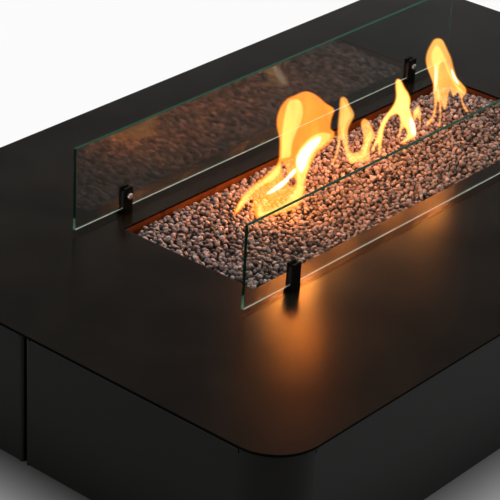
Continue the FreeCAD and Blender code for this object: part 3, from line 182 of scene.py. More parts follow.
def coated(name, dark, light, patch, rough, grain, depth, metallic=0.0, specular=0.5, painted_shade_reach=0.0,
           painted_dark_sides=False):
    """Paint, plastic, rubber or metal: cloudy colour, uneven gloss and a fine grain.

    Where a painted_shade_reach in metres is given, crevices within it lose their gloss and show darker, as
    painted shade, and with painted_dark_sides upright sides do too.
    """
    look = Finish(name)
    cloud = look.noise(patch, 5.0, 0.6)
    fine = look.noise(grain, 4.0, 0.7)
    shader = look.add("ShaderNodeBsdfPrincipled", Base_Color=look.ramp(cloud, dark, light),
                      Roughness=look.span(cloud, rough[0], rough[1]), Metallic=metallic,
                      Normal=look.bump(fine, depth))
    shader.inputs["Specular IOR Level"].default_value = specular
    if not painted_shade_reach:
        return look.finish(shader.outputs["BSDF"])
    # Painted shade: where the gloss goes, a plain dark diffuse stands in for shade in crevices and on
    # upright sides
    painted_shade = look.add("ShaderNodeBsdfDiffuse", Color=dark)
    gloss = look.span(look.openness(painted_shade_reach), 0.0, 1.0, *CREVICE_SHADE_SPAN)
    # Painted shade: upright sides lose their gloss and show darker
    if painted_dark_sides:
        facing = look.add("ShaderNodeSeparateXYZ", Vector=look.add("ShaderNodeTexCoord").outputs["Normal"])
        flat = look.span(look.maths("ABSOLUTE", facing.outputs["Z"]), UPRIGHT_SHARE, 1.0, *SIDE_SHADE_SPAN)
        gloss = look.maths("MULTIPLY", gloss, flat)
    return look.finish(look.blend(gloss, painted_shade.outputs["BSDF"], shader.outputs["BSDF"]))


DRAWN_LINES = 700
DRAWN_PATCHES = 30


def drawn(name, dark, light, rough, stretch, depth):
    """Drawn or brushed metal with fine lines along one axis."""
    look = Finish(name)
    lines = look.noise(DRAWN_LINES, 3.0, 0.6, stretch)
    cloud = look.noise(DRAWN_PATCHES, 4.0, 0.6)
    shader = look.add("ShaderNodeBsdfPrincipled", Base_Color=look.ramp(cloud, dark, light),
                      Roughness=look.span(lines, rough[0], rough[1]), Metallic=1.0,
                      Normal=look.bump(lines, depth))
    return look.finish(shader.outputs["BSDF"])


# Glass: its colours, the lower edge's one being a painted highlight for light the glass carries to it, how
# squarely a face looks along y, and the height of that lower edge in metres
PANE_COLOUR = (0.93, 0.985, 0.955)
EDGE_COLOUR = (0.06, 0.22, 0.13)
PAINTED_GLOW_COLOUR = (0.42, 0.41, 0.35)
SHADOW_COLOUR = (0.90, 0.97, 0.93)
GLASS_IOR = 1.5
FACE_SQUARE = 0.9
LOWER_EDGE = 0.0003


def clear_glass():
    """Float glass: clear faces, deep green edges, a lower edge painted pale and matt as a painted
    highlight, and a faint shadow.
    """
    look = Finish("clear_glass")
    pane = look.add("ShaderNodeBsdfPrincipled", Base_Color=PANE_COLOUR, Roughness=0.0,
                    Transmission_Weight=1.0, IOR=GLASS_IOR)
    edge = look.add("ShaderNodeBsdfPrincipled", Base_Color=EDGE_COLOUR, Roughness=0.12,
                    Transmission_Weight=0.6, IOR=GLASS_IOR)
    painted_glow = look.add("ShaderNodeBsdfPrincipled", Base_Color=PAINTED_GLOW_COLOUR, Roughness=0.5)
    clear = look.add("ShaderNodeBsdfTransparent", Color=SHADOW_COLOUR)
    coordinates = look.add("ShaderNodeTexCoord")
    facing = look.add("ShaderNodeSeparateXYZ", Vector=coordinates.outputs["Normal"])
    place = look.add("ShaderNodeSeparateXYZ", Vector=coordinates.outputs["Object"])
    is_edge = look.maths("LESS_THAN", look.maths("ABSOLUTE", facing.outputs["Y"]), FACE_SQUARE)
    is_lower = look.maths("LESS_THAN", place.outputs["Z"], GLASS_FOOT + LOWER_EDGE)
    is_shadow = look.add("ShaderNodeLightPath").outputs["Is Shadow Ray"]
    solid = look.blend(is_edge, pane.outputs["BSDF"], edge.outputs["BSDF"])
    # Painted highlight: the lower edge is painted pale and matt, standing for light the glass carries to it
    solid = look.blend(is_lower, solid, painted_glow.outputs["BSDF"])
    return look.finish(look.blend(is_shadow, solid, clear.outputs["BSDF"]))


# Lava: cells of pits and of dust per metre, the pits' depth and the reach of the painted shade in the gaps
# between stones, in metres
PIT_CELLS = 420
DUST_CELLS = 150
PIT_DEPTH = 0.0022
GAP_SHADE_REACH = 0.009
# Each ramp: its two colours, and the amounts where they stand
STONE_RAMP = ((0.062, 0.059, 0.060), (0.54, 0.46, 0.43), 0.0, 1.0)
DUST_RAMP = ((0.62, 0.6, 0.62), (1.25, 1.2, 1.15), 0.3, 0.7)
GAP_SHADE_RAMP = ((0.10, 0.08, 0.075), (1.0, 1.0, 1.0), 0.15, 0.75)


def lava_stone():
    """Porous lava: a tone of its own for each stone, pits, pale dust and painted shade in the gaps between
    stones.
    """
    look = Finish("lava")
    tone = look.add("ShaderNodeAttribute", {"attribute_name": "tone"})
    base = look.ramp(tone.outputs["Fac"], *STONE_RAMP)
    pits = look.noise(PIT_CELLS, 4.0, 0.65)
    dust = look.noise(DUST_CELLS, 3.0, 0.6)
    dusty = look.times(base, look.ramp(dust, *DUST_RAMP))
    # Painted shade: the stones darken where others crowd them
    colour = look.times(dusty, look.ramp(look.openness(GAP_SHADE_REACH), *GAP_SHADE_RAMP))
    shader = look.add("ShaderNodeBsdfPrincipled", Base_Color=colour, Roughness=0.85,
                      Normal=look.bump(pits, PIT_DEPTH))
    return look.finish(shader.outputs["BSDF"])


# The black coat's two colours, its satin kind on the plate and the body, and that kind's gloss and the
# reach of its painted shade in crevices
BLACK = ((0.0062, 0.0045, 0.0028), (0.0092, 0.0069, 0.0046))
SATIN = (*BLACK, 9, (0.20, 0.24), 1500, 0.000004)
SATIN_GLOSS_AND_SHADE = {"specular": 0.32, "painted_shade_reach": 0.014}
# Each coat: dark and light colour, patches per metre, range of roughness, grains per metre, their depth
# in metres, and a 1 for metal
COATS = {
    "frame_coat": ((0.022, 0.022, 0.022), (0.035, 0.035, 0.034), 25, (0.5, 0.62), 900, 0.0001),
    "zinc_steel": ((0.50, 0.50, 0.48), (0.66, 0.65, 0.60), 160, (0.28, 0.45), 1200, 0.00003, 1.0),
    # tray_coat: a dark coat whose warm orange-brown is partly painted light, standing for the flames' glow
    # on the tray's walls
    "tray_coat": ((0.10, 0.044, 0.018), (0.15, 0.068, 0.030), 18, (0.26, 0.36), 900, 0.00002),
    "heat_steel": ((0.24, 0.17, 0.15), (0.48, 0.42, 0.36), 22, (0.3, 0.5), 800, 0.00004, 1.0),
    "valve_alloy": ((0.50, 0.50, 0.51), (0.64, 0.64, 0.65), 90, (0.38, 0.52), 1500, 0.0001, 1.0),
    "ceramic": ((0.78, 0.75, 0.69), (0.88, 0.86, 0.82), 60, (0.12, 0.2), 500, 0.00005),
    "lead_sleeve": ((0.30, 0.03, 0.022), (0.40, 0.05, 0.035), 80, (0.45, 0.6), 900, 0.00004),
    "black_plastic": ((0.016, 0.016, 0.016), (0.024, 0.024, 0.024), 70, (0.4, 0.5), 1400, 0.00008),
    "foot_rubber": ((0.018, 0.018, 0.018), (0.032, 0.031, 0.03), 60, (0.7, 0.82), 1100, 0.0001),
    "pad_rubber": ((0.014, 0.014, 0.014), (0.024, 0.024, 0.024), 60, (0.6, 0.75), 1100, 0.0001),
}
# Each drawn metal: dark and light colour, range of roughness, the stretch of its lines, and their depth
DRAWN_METALS = {
    "brass": ((0.60, 0.43, 0.17), (0.76, 0.57, 0.27), (0.2, 0.36), (1, 1, 9), 0.00003),
    "pipe_steel": ((0.50, 0.50, 0.50), (0.64, 0.64, 0.63), (0.25, 0.4), (1, 0.05, 1), 0.00003),
    "screw_chrome": ((0.70, 0.69, 0.66), (0.82, 0.81, 0.78), (0.12, 0.22), (1, 6, 1), 0.00002),
}
MATERIALS = {
    "black_coat": coated("black_coat", *SATIN, **SATIN_GLOSS_AND_SHADE),
    "plate_coat": coated("plate_coat", *SATIN, **SATIN_GLOSS_AND_SHADE, painted_dark_sides=True),
    "clip_coat": coated("clip_coat", *BLACK, 60, (0.5, 0.6), 1500, 0.00001, specular=0.1),
    "lava": lava_stone(),
    "clear_glass": clear_glass(),
    **{name: coated(name, *numbers) for name, numbers in COATS.items()},
    **{name: drawn(name, *numbers) for name, numbers in DRAWN_METALS.items()},
}

CLIPS = [f"{side}_{end}_clip" for side in ("front", "rear") for end in ("left", "right")]
# Nodes with their own kind of the black coat: the plate's upright sides are painted darker, as painted
# shade, and the clips are matt
SPECIAL_COATS = {"top_plate": "plate_coat", **{clip: "clip_coat" for clip in CLIPS}}


def dress_nodes():
    """Give every carried-over node the material of its slot, or its own kind of that coat."""
    for part in frame["record"]["subparts"]:
        item = NODES[part["node"]]
        item.data.materials.clear()
        item.data.materials.append(MATERIALS[SPECIAL_COATS.get(part["node"], part["material_slot"])])


# Meshes

def mesh_object(name, vertices, faces, smooth=True):
    """An object from plain lists of points and faces."""
    mesh = bpy.data.meshes.new(name)
    mesh.from_pydata(vertices, [], faces)
    mesh.update()
    item = bpy.data.objects.new(name, mesh)
    bpy.context.scene.collection.objects.link(item)
    if smooth:
        mesh.shade_smooth()
    return item


# Lava stones: lengths are in metres, and what is cut or squashed is a share of a stone's radius

STONE_SEED = 7
STONE_SHAPES = 16
STONE_ROUGHNESS = 0.09
STONE_CUTS = 9
CUT_PLACE = (0.55, 0.85)
CUT_SHARE = 0.92
STONE_RADIUS = (0.0044, 0.0070)
STONE_WIDTH = (0.68, 0.98)
STONE_THICKNESS = (0.55, 0.85)
# Mean and spread of the stones' tones, from 0 dark to 1 pale
STONE_TONES = (0.45, 0.26)
STONE_PITCH = 0.0092
ROW_SHARE = 0.87
PITCH_JITTER = 0.34
HEIGHT_JITTER = 0.0024
# Each layer: its share of the pitch, and how many of the largest radii it lies down
STONE_LAYERS = [(1.0, 0.5), (1.25, 1.7)]
STONE_WALL_GAP = 0.0038
STONE_RISE = 0.0015
HEAP_DROP = 0.0065
HEAP_SWELL = 0.0015
HEAP_WAVES = (2 * math.pi / 0.145, 2 * math.pi / 0.190)
REAR_DIP = 0.010
END_DIP = 0.006
CORNER_DIP = 0.018
DIP_REACH = 0.060


def stone_shapes(random):
    """Pebbles made by cutting a ball with a few flat planes."""
    ball = bmesh.new()
    bmesh.ops.create_icosphere(ball, subdivisions=2, radius=1.0)
    points = np.array([tuple(vertex.co) for vertex in ball.verts])
    faces = np.array([[vertex.index for vertex in face.verts] for face in ball.faces])
    ball.free()
    shapes = []
    for _ in range(STONE_SHAPES):
        shape = points * (1 + random.uniform(-STONE_ROUGHNESS, STONE_ROUGHNESS, (len(points), 1)))
        for _ in range(STONE_CUTS):
            normal = random.normal(size=3)
            normal /= np.linalg.norm(normal)
            over = np.maximum(shape @ normal - random.uniform(*CUT_PLACE), 0)
            shape = shape - over[:, None] * normal * CUT_SHARE
        shapes.append(shape)
    return shapes, faces


def heap_height(x, y):
    """Height of the heap: gently uneven, lower by the rear wall, right end and rear left corner."""
    along, across = HEAP_WAVES
    swell = np.cos(along * x) * np.cos(across * y) + np.sin(across * x + along * y)

    def dip(depth, distance):
        return depth * np.maximum(0, 1 - distance / DIP_REACH) ** 2

    rear = dip(REAR_DIP, BED_HIGH.y - y)
    end = dip(END_DIP, BED_HIGH.x - x)
    corner = dip(CORNER_DIP, np.hypot(x - BED_LOW.x, BED_HIGH.y - y))
    return PLATE_TOP - HEAP_DROP + HEAP_SWELL * swell - rear - end - corner


def turned(random, count):
    """Random turning matrices."""
    q = random.normal(size=(count, 4))
    q /= np.linalg.norm(q, axis=1, keepdims=True)
    w, x, y, z = q.T
    rows = [[1 - 2 * (y * y + z * z), 2 * (x * y - z * w), 2 * (x * z + y * w)],
            [2 * (x * y + z * w), 1 - 2 * (x * x + z * z), 2 * (y * z - x * w)],
            [2 * (x * z - y * w), 2 * (y * z + x * w), 1 - 2 * (x * x + y * y)]]
    return np.moveaxis(np.array(rows), 2, 0)


def stone_layer(random, pitch, sink):
    """Stone centres on a jittered grid, one layer deep."""
    xs = np.arange(BED_LOW.x + STONE_WALL_GAP, BED_HIGH.x - STONE_WALL_GAP, pitch)
    ys = np.arange(BED_LOW.y + STONE_WALL_GAP, BED_HIGH.y - STONE_WALL_GAP, pitch * ROW_SHARE)
    grid_x, grid_y = np.meshgrid(xs, ys)
    grid_x = grid_x + pitch / 2 * (np.arange(len(ys)) % 2)[:, None]
    x = grid_x.ravel() + random.uniform(-PITCH_JITTER, PITCH_JITTER, grid_x.size) * pitch
    y = grid_y.ravel() + random.uniform(-PITCH_JITTER, PITCH_JITTER, grid_x.size) * pitch
    x = np.clip(x, BED_LOW.x + STONE_WALL_GAP, BED_HIGH.x - STONE_WALL_GAP)
    y = np.clip(y, BED_LOW.y + STONE_WALL_GAP, BED_HIGH.y - STONE_WALL_GAP)
    uneven = random.uniform(-HEIGHT_JITTER, HEIGHT_JITTER, x.size)
    z = heap_height(x, y) + STONE_RISE - sink + uneven
    return np.stack([x, y, z], axis=1)


def lava_stones():
    """Thousands of loose pebbles in two layers, as one piece."""
    random = np.random.default_rng(STONE_SEED)
    shapes, faces = stone_shapes(random)
    centres = np.concatenate([stone_layer(random, STONE_PITCH * share, STONE_RADIUS[1] * sink)
                              for share, sink in STONE_LAYERS])
    count = len(centres)
    radius = random.uniform(*STONE_RADIUS, count)
    width = random.uniform(*STONE_WIDTH, count)
    thickness = random.uniform(*STONE_THICKNESS, count)
    squash = np.stack([np.ones(count), width, thickness], axis=1)
    turns = turned(random, count)
    kinds = random.integers(0, STONE_SHAPES, count)
    points = np.stack(shapes)[kinds] * squash[:, None, :] * radius[:, None, None]
    points = np.einsum("nij,nvj->nvi", turns, points) + centres[:, None, :]
    points[:, :, 0] = np.clip(points[:, :, 0], BED_LOW.x, BED_HIGH.x)
    points[:, :, 1] = np.clip(points[:, :, 1], BED_LOW.y, BED_HIGH.y)
    all_faces = faces[None] + (np.arange(count) * points.shape[1])[:, None, None]
    item = mesh_object("lava_stones", points.reshape(-1, 3).tolist(), all_faces.reshape(-1, 3).tolist())
    tone = item.data.attributes.new("tone", "FLOAT", "POINT")
    tones = np.repeat(np.clip(random.normal(*STONE_TONES, count), 0, 1), points.shape[1])
    tone.data.foreach_set("value", tones.astype(np.float32))
    item.data.materials.append(MATERIALS["lava"])
    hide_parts("lava_bed")
    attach(item, "table")


# Flames: thin sheets of burning gas, drawn as they are seen in the picture, in its pixels

# Half a sheet's thickness and the size of its cells in metres, and the steps between two drawn points
SHEET_HALF = 0.003
SHEET_VOXEL = 0.0011
SHEET_STEPS = 5
# How much a metre of the gas dims what is behind it, and how its glow wavers: cells, stretch and span
FLAME_VEIL = 70
WAVER_CELLS = 26
WAVER_STRETCH = (1.0, 1.0, 0.45)
WAVER_SPAN = (0.75, 1.2, 0.35, 0.65)
# The share of a sheet's full depth at which the colour of its middle is reached
MIDDLE_DEPTH = 0.8
# Each kind: the colour of the rim and of the middle, and the strength
FLAME_COLOURS = {
    "orange": ((1.0, 0.17, 0.012), (1.0, 0.34, 0.035), 230),
    "amber": ((1.0, 0.26, 0.03), (1.0, 0.50, 0.10), 310),
    "yellow": ((1.0, 0.40, 0.05), (1.0, 0.78, 0.22), 170),
    "white": ((1.0, 0.65, 0.35), (1.0, 0.92, 0.95), 420),
}
# Each flame: where it stands along the table, how far it is turned, and its sheets
FLAMES = {
    "first": (-0.18, 14, [
        ("orange", [(306, 91), (316, 94.5), (326, 103), (334, 109), (331.5, 118), (330.5, 128),
                    (334, 131.5), (333.5, 138), (328, 145), (319.5, 151.5), (314, 158), (309.5, 168),
                    (306, 178), (305.5, 190), (303.5, 198), (297, 206), (288, 210.5), (276, 214.5),
                    (264, 217.5), (256.5, 219), (254, 212), (251, 210), (253, 201), (248, 201),
                    (243, 207), (237, 214), (233.5, 215), (236, 208), (241, 199), (247, 190.5),
                    (255, 183), (263, 177), (271, 170), (278.3, 162), (279.6, 150), (279.6, 140),
                    (278.3, 133), (276.9, 124), (277.6, 116), (281, 107), (287, 99), (296, 94.5)],
         [[(281.6, 162), (284.5, 166), (286.6, 172), (285.5, 178.5), (282.8, 173)],
          [(288, 183), (291, 178.5), (295, 179), (296, 183), (292.5, 186.5)]]),
        ("yellow", [(292, 99), (300, 100), (303, 110), (301, 122), (296, 133), (292, 145), (290, 157),
                    (281, 160), (280, 172), (272, 181), (262, 186), (252, 195), (245, 203),
                    (238, 211), (235.5, 212), (240, 202), (247, 192.5), (256, 184), (265, 178),
                    (273, 171), (280, 162), (281.5, 150), (281.5, 138), (283, 125), (285, 112),
                    (288, 103)], []),
        ("yellow", [(318, 133), (325, 132), (331, 134), (329, 140), (322, 147), (315, 152),
                    (310.5, 160), (308, 170), (304, 181), (303, 193), (297, 203), (287, 208),
                    (276, 212.5), (262, 216.5), (258, 217), (257.5, 211), (260, 205), (263, 211),
                    (272, 209), (283, 203), (290, 196), (296, 188), (297, 178), (295.5, 168),
                    (296.5, 157), (300, 148), (308, 139)], []),
        ("white", [(320, 136), (319.5, 142), (314, 149), (308.5, 157), (305, 167), (300.5, 173),
                   (297, 166), (297.5, 157), (302, 149), (310, 141)], []),
        ("white", [(296, 168), (294, 174), (288, 181), (281, 188), (273, 192.5), (266, 194.5),
                   (272, 189), (279, 183), (286, 178), (291, 172)], []),
    ]),
    "second": (-0.04, -18, [
        ("amber", [(343.5, 96.5), (347, 98.5), (350, 105), (353.5, 111), (354.3, 116), (351.5, 122),
                    (348.7, 128), (348, 136), (348.7, 146), (351, 151.5), (356, 152.5), (360.5, 149.5),
                    (363, 143), (363, 135), (361, 127), (361, 122), (364, 118.5), (368, 120),
                    (371, 125), (374.5, 132.5), (374.3, 138), (371, 143.5), (370, 151), (369.5, 160.5),
                    (364, 162), (357, 162.5), (350, 164), (346, 156), (343.5, 147), (341.5, 140),
                    (340, 147), (337.5, 155), (334, 164), (331.8, 163.5), (334.5, 156), (336.8, 147),
                    (337.3, 135), (337.6, 125), (338.8, 112), (339.6, 101), (341, 97.5)], []),
        ("yellow", [(343, 99), (347, 104), (351, 112), (351.5, 117), (348, 122), (345.5, 130),
                    (344.5, 137), (341, 136), (339.8, 125), (340.8, 112), (341.5, 103)], []),
        ("yellow", [(346, 138), (348, 149), (352, 156), (360, 154), (364.5, 147), (365.5, 138),
                    (370.5, 130), (372.5, 136), (369.5, 142), (367.5, 150), (366, 157), (358, 160),
                    (351, 160), (347, 152), (345, 145)], []),
    ]),
    "fourth": (0.10, 16, [
        ("amber", [(398.5, 78.5), (401, 80.5), (404, 86.5), (408, 93), (410, 100), (409.3, 108),
                    (411, 113), (413.5, 120), (415.5, 127), (416, 135), (413.5, 139.5), (409, 140),
                    (401.5, 144), (400.5, 142.8), (406.5, 137), (407, 131.5), (404, 127.5),
                    (401, 131), (398.8, 138.5), (398.2, 137), (400.2, 128), (400.4, 119.5),
                    (397.5, 114.5), (391, 116.5), (386, 123), (383.4, 131), (381.3, 145),
                    (379.8, 155), (378.3, 154), (378.5, 144), (376, 144.5), (372.5, 151),
                    (371.8, 149.5), (376.5, 139), (379.5, 129), (383, 120), (389, 111.5),
                    (394, 104.5), (396.4, 97), (395.9, 88), (396.2, 81)], []),
        ("yellow", [(399, 83), (402.5, 89), (407, 96), (408.3, 103), (406, 110), (408, 116),
                    (411.5, 120), (413.8, 128), (414, 136), (411.5, 136.5), (408.5, 129.5),
                    (404.5, 124), (401.7, 120), (401, 112), (396, 110.5), (390, 113.5),
                    (385, 121.5), (381, 134), (380.5, 130), (384, 120), (390, 112),
                    (396.5, 104.5), (398.5, 96)], []),
        ("white", [(410, 117), (412.5, 120), (414.5, 127), (415, 134.5), (412, 135), (410.3, 127)], []),
    ]),
    "fifth": (0.165, -8, [
        ("amber", [(419.3, 105.5), (420.8, 109), (421, 116), (420.6, 125), (419.2, 126),
                    (418.6, 120), (416.5, 118), (414.5, 121), (413, 118.5), (413, 112),
                    (416, 107.5)], []),
        ("yellow", [(418.5, 107), (419.8, 112), (417, 115), (414.5, 116), (414.5, 111.5)], []),
    ]),
    "sixth": (0.23, -14, [
        ("amber", [(438.5, 38), (443, 40), (447, 48), (451.5, 58), (454, 68), (457, 77), (462, 83),
                    (466, 88), (466.3, 94), (463, 97.5), (464, 103), (467, 108), (468.8, 111),
                    (466.5, 112.3), (463, 108), (461, 101.5), (460, 97), (457, 93), (453, 97),
                    (450, 90), (448.5, 97), (447, 105), (445, 110), (442.5, 107), (441.5, 101),
                    (441.3, 110), (441, 120), (439.8, 126.5), (437.5, 126), (439.2, 119),
                    (439, 110), (438.5, 102), (436.8, 104), (436, 112), (433, 119), (428.5, 125.5),
                    (426, 126), (427.5, 121), (432, 116), (434, 108), (434, 99), (433, 92),
                    (432.8, 84), (430, 76), (427, 68), (425.6, 60), (427, 52), (430.5, 44.5),
                    (434, 39.5)], []),
        ("yellow", [(438, 45), (443, 52), (447, 62), (451, 72), (454.5, 80), (458, 85.5), (463, 90),
                    (463.5, 94), (459, 91), (454, 85), (450.5, 79), (447, 72), (443, 62), (440, 66),
                    (438.5, 80), (439.5, 95), (439.8, 101), (437, 96), (436.8, 85), (434.5, 88),
                    (434, 70), (431.5, 62), (431, 54), (434, 47.5)], []),
        ("white", [(435.5, 64), (437.2, 70), (436.8, 80), (436, 90), (434.8, 90), (434.6, 78)], []),
        ("white", [(449, 62), (452, 68), (455.5, 76), (459.5, 84), (457.5, 84.5), (453, 78.5),
                   (450, 70)], []),
    ]),
}


def view_axes():
    """The directions that the camera calls ahead, right and up."""
    ahead = Vector((math.cos(CAMERA_AZIMUTH) * math.cos(CAMERA_DOWN),
                    math.sin(CAMERA_AZIMUTH) * math.cos(CAMERA_DOWN), -math.sin(CAMERA_DOWN)))
    right = ahead.cross(Vector((0, 0, 1))).normalized()
    up = right.cross(ahead)
    rolled = math.cos(CAMERA_ROLL) * right + math.sin(CAMERA_ROLL) * up
    upward = -math.sin(CAMERA_ROLL) * right + math.cos(CAMERA_ROLL) * up
    return ahead, rolled, upward


def seen_on_plane(pixel, point, normal):
    """Where the line of sight through a pixel of the picture meets a plane."""
    ahead, right, up = view_axes()
    reach = CAMERA_LENS / CAMERA_SENSOR * PICTURE_SIZE
    ray = ahead + right * (pixel[0] - PICTURE_SIZE / 2) / reach - up * (pixel[1] - PICTURE_SIZE / 2) / reach
    return CAMERA_PLACE + ray * ((point - CAMERA_PLACE).dot(normal) / ray.dot(normal))


def smooth_loop(points):
    """Points on a smooth closed curve through the given ones."""
    count = len(points)
    path = []
    for index in range(count):
        a, b, c, d = (points[(index + shift) % count] for shift in (-1, 0, 1, 2))
        for step in range(SHEET_STEPS):
            t = step / SHEET_STEPS
            path.append(0.5 * (2 * b + (c - a) * t + (2 * a - 5 * b + 4 * c - d) * t * t
                               + (3 * b - a - 3 * c + d) * t ** 3))
    return path


def sheet_mesh(name, outlines, point, turn):
    """A flat body with rounded outlines, any after the first being holes, on an upright plane."""
    along = Vector((math.cos(turn), math.sin(turn), 0))
    normal = Vector((-math.sin(turn), math.cos(turn), 0))
    drawing = bpy.data.curves.new(name, "CURVE")
    drawing.dimensions = "2D"
    drawing.fill_mode = "BOTH"
    drawing.extrude = SHEET_HALF
    for outline in outlines:
        places = [seen_on_plane(pixel, point, normal) - point for pixel in outline]
        path = smooth_loop([Vector((place.dot(along), place.z)) for place in places])
        spline = drawing.splines.new("POLY")
        spline.points.add(len(path) - 1)
        spline.use_cyclic_u = True
        for knot, (x, z) in zip(spline.points, path):
            knot.co = (x, z, 0, 1)
    mesh = bpy.data.meshes.new_from_object(bpy.data.objects.new(name, drawing))
    for vertex in mesh.vertices:
        x, z, depth = vertex.co
        vertex.co = point + along * x + normal * depth + Vector((0, 0, z))
    return mesh


def flame_light(kind):
    """Burning gas: glows redder at the rim of a sheet, where it is thin, and dims what is behind it."""
    rim, middle, strength = FLAME_COLOURS[kind]
    look = Finish(f"flame_{kind}")
    depth = look.add("ShaderNodeAttribute", {"attribute_name": "density"})
    waver = look.span(look.noise(WAVER_CELLS, 2.0, 0.5, WAVER_STRETCH), *WAVER_SPAN)
    amount = look.maths("MULTIPLY", depth.outputs["Fac"], waver)
    colour = look.ramp(depth.outputs["Fac"], rim, middle, 0.0, MIDDLE_DEPTH)
    glow = look.add("ShaderNodeEmission", Color=colour, Strength=look.maths("MULTIPLY", amount, strength))
    veil = look.add("ShaderNodeVolumeAbsorption", Color=(0.0, 0.0, 0.0),
                    Density=look.maths("MULTIPLY", amount, FLAME_VEIL))
    both = look.add("ShaderNodeAddShader")
    look.tree.links.new(glow.outputs["Emission"], both.inputs[0])
    look.tree.links.new(veil.outputs["Volume"], both.inputs[1])
    return look.finish(None, both.outputs["Shader"])


def flames():
    """Fire is light and no solid piece, so each sheet is a glowing volume."""
    lights = {kind: flame_light(kind) for kind in FLAME_COLOURS}
    for name, (x, turn, sheets) in FLAMES.items():
        point = Vector((x, 0, PLATE_TOP))
        for index, (kind, outline, holes) in enumerate(sheets):
            label = f"flame_{name}_{index}"
            mesh = sheet_mesh(label, [outline, *holes], point, math.radians(turn))
            source = bpy.data.objects.new(f"{label}_form", mesh)
            gas = bpy.data.volumes.new(label)
            gas.materials.append(lights[kind])
            item = bpy.data.objects.new(label, gas)
            fill = item.modifiers.new("fill", "MESH_TO_VOLUME")
            fill.object = source
            fill.resolution_mode = "VOXEL_SIZE"
            fill.voxel_size = SHEET_VOXEL
            fill.interior_band_width = SHEET_HALF
            fill.density = 1.0
            item.visible_shadow = False
            item.visible_diffuse = False
            item.visible_glossy = False
            bpy.context.scene.collection.objects.link(item)


# Lamps inside the flames: place along the table, height above the plate, radius and power

FLAME_LAMPS = [
    ("big_upper", -0.165, 0.150, 0.045, 2.2),
    ("big_lower", -0.215, 0.050, 0.030, 1.2),
    ("second", -0.045, 0.100, 0.020, 0.75),
    ("third", 0.015, 0.060, 0.018, 0.4),
    ("fourth", 0.100, 0.090, 0.025, 0.55),
    ("sixth", 0.225, 0.130, 0.035, 0.85),
]
# The tops of the flames as the plate mirrors them
MIRRORED_LAMPS = [
    ("big_left", -0.215, 0.190, 0.030, 0.09),
    ("big_middle", -0.165, 0.235, 0.035, 0.27),
    ("big_top", -0.125, 0.285, 0.035, 0.54),
    ("sixth_top", 0.200, 0.220, 0.030, 0.035),
]


def flame_lamp(name, x, height, radius, power, tint, nodes, linked):
    """A warm lamp that lights only the nodes given, or all but them."""
    lamp = bpy.data.lights.new(name, "POINT")
    lamp.energy = power
    lamp.color = tint
    lamp.shadow_soft_size = radius
    # Left on, this loses the small lamps' glow in the plate
    lamp.cycles.use_multiple_importance_sampling = False
    item = bpy.data.objects.new(name, lamp)
    item.location = (x, 0, PLATE_TOP + height)
    item.visible_camera = False
    item.visible_transmission = False
    group = bpy.data.collections.new(f"{name}_group")
    for node in nodes:
        group.objects.link(NODES[node])
    for entry in group.collection_objects:
        entry.light_linking.link_state = linked
    item.light_linking.receiver_collection = group
    bpy.context.scene.collection.objects.link(item)
    return item


def flame_lamps():
    """Warm light on the stones and the plate, but not on the glass or the matt clips."""
    for name, *lamp in FLAME_LAMPS:
        flame_lamp(f"flame_{name}", *lamp, FLAME_TINT, ["front_glass", "rear_glass", *CLIPS], "EXCLUDE")
    for name, *lamp in MIRRORED_LAMPS:
        item = flame_lamp(f"mirrored_{name}", *lamp, MIRRORED_TINT, ["top_plate"], "INCLUDE")
        item.visible_diffuse = False


# Studio

# How bright it is at the sides, overhead and at the horizon, and the heights between which that changes
SIDE_LEVEL = 0.08
OVERHEAD_LEVEL = 0.56
HORIZON_SHARE = 0.8
OVERHEAD_RISE = (0.80, 0.92)
HORIZON_FALL = (0.18, 0.40)


def studio_world():
    """Dark around, lit overhead; the camera sees white, and mirrors and glass most of it low down."""
    world = bpy.data.worlds.new("studio")
    bpy.context.scene.world = world
    look = Finish("studio", world)
    coordinates = look.add("ShaderNodeTexCoord")
    height = look.add("ShaderNodeSeparateXYZ", Vector=coordinates.outputs["Generated"]).outputs["Z"]
    level = look.span(height, SIDE_LEVEL, OVERHEAD_LEVEL, *OVERHEAD_RISE, "SMOOTHSTEP")
    horizon = look.span(height, HORIZON_SHARE, 0.0, *HORIZON_FALL, "SMOOTHSTEP")
    path = look.add("ShaderNodeLightPath")
    seen = look.maths("MAXIMUM", path.outputs["Is Glossy Ray"], path.outputs["Is Transmission Ray"])
    seen = look.maths("MAXIMUM", look.maths("MULTIPLY", seen, horizon), path.outputs["Is Camera Ray"])
    shown = look.add("ShaderNodeMix", Factor=seen, A=level, B=WHITE)
    background = look.add("ShaderNodeBackground", Color=(1.0, 1.0, 1.0), Strength=shown.outputs["Result"])
    look.finish(background.outputs["Background"])


SOFTBOX_PLACE = Vector((0.7, 0.7, 3.0))
SOFTBOX_TARGET = Vector((0, 0, 0.3))
SOFTBOX_SIZE = 1.6
SOFTBOX_POWER = 60


def softbox():
    """A large square lamp above the table, seen neither by the camera nor in mirrors."""
    lamp = bpy.data.lights.new("top_softbox", "AREA")
    lamp.energy = SOFTBOX_POWER
    lamp.size = SOFTBOX_SIZE
    item = bpy.data.objects.new("top_softbox", lamp)
    item.location = SOFTBOX_PLACE
    item.rotation_euler = (SOFTBOX_TARGET - SOFTBOX_PLACE).to_track_quat("-Z", "Y").to_euler()
    item.visible_camera = False
    item.visible_glossy = False
    bpy.context.scene.collection.objects.link(item)


# The floor's size in metres and its matt tones, and between which distances from the plate's outline it
# turns from matt to plain white, for the camera and for mirrors; the matt zone is painted shade round the
# table
FLOOR_SIZE = 14.0
FLOOR_TONES = (0.43, 0.46)
CAMERA_SHADE = (-0.17, 0.35)
GLOSSY_SHADE = (0.7, 1.8)


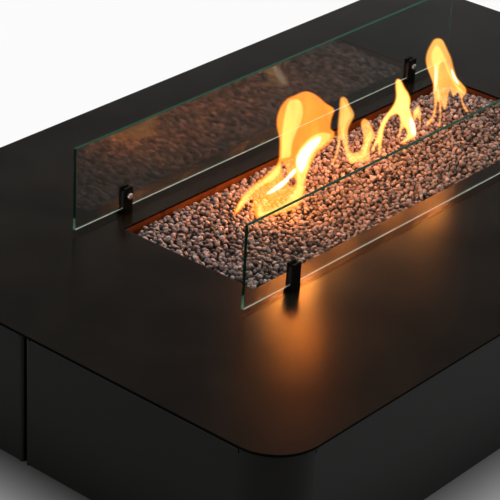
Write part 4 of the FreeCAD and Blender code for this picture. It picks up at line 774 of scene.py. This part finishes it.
def floor():
    """Pale floor: matt, with the table's real shadow, under and close to it, where it is darker than the
    white beyond as painted shade, and plain white further out; mirrors see that painted shade further out.
    """
    look = Finish("floor")
    coordinates = look.add("ShaderNodeTexCoord")
    split = look.add("ShaderNodeSeparateXYZ", Vector=coordinates.outputs["Object"])
    beside = [look.maths("SUBTRACT", look.maths("ABSOLUTE", split.outputs[axis]), reach)
              for axis, reach in (("X", PLATE_HIGH.x), ("Y", PLATE_HIGH.y))]
    away = look.maths("MAXIMUM", *beside)
    dark, light = ((tone, tone, tone) for tone in FLOOR_TONES)
    matt = look.add("ShaderNodeBsdfDiffuse", Color=look.ramp(look.noise(60, 3.0, 0.6), dark, light))
    plain = look.add("ShaderNodeEmission", Color=(WHITE, WHITE, WHITE))
    path = look.add("ShaderNodeLightPath")
    direct = look.maths("MAXIMUM", path.outputs["Is Camera Ray"], path.outputs["Is Transmission Ray"])
    # Painted shade: the floor goes from matt to white by distance from the plate's outline, not by light
    direct = look.maths("MULTIPLY", direct, look.span(away, 0.0, 1.0, *CAMERA_SHADE, "SMOOTHSTEP"))
    mirrored = look.span(away, 0.0, 1.0, *GLOSSY_SHADE, "SMOOTHSTEP")
    mirrored = look.maths("MULTIPLY", path.outputs["Is Glossy Ray"], mirrored)
    white = look.maths("MAXIMUM", direct, mirrored)
    shader = look.blend(white, matt.outputs["BSDF"], plain.outputs["Emission"])
    half = FLOOR_SIZE / 2
    corners = [(-half, -half, 0), (half, -half, 0), (half, half, 0), (-half, half, 0)]
    item = mesh_object("floor", corners, [(0, 1, 2, 3)], smooth=False)
    item.data.materials.append(look.finish(shader))


def camera():
    """The picture's own viewpoint, with a little roll."""
    ahead, right, up = view_axes()
    lens = bpy.data.cameras.new("camera")
    lens.lens = CAMERA_LENS
    lens.sensor_width = CAMERA_SENSOR
    lens.sensor_fit = "HORIZONTAL"
    item = bpy.data.objects.new("camera", lens)
    bpy.context.scene.collection.objects.link(item)
    matrix = item.matrix_world.to_3x3()
    for column, axis in enumerate((right, up, -ahead)):
        matrix.col[column] = axis
    item.matrix_world = matrix.to_4x4()
    item.location = CAMERA_PLACE
    bpy.context.scene.camera = item


camera()
dress_nodes()
lava_stones()
flames()
flame_lamps()
studio_world()
softbox()
floor()
bpy.context.scene.view_settings.view_transform = "Standard"
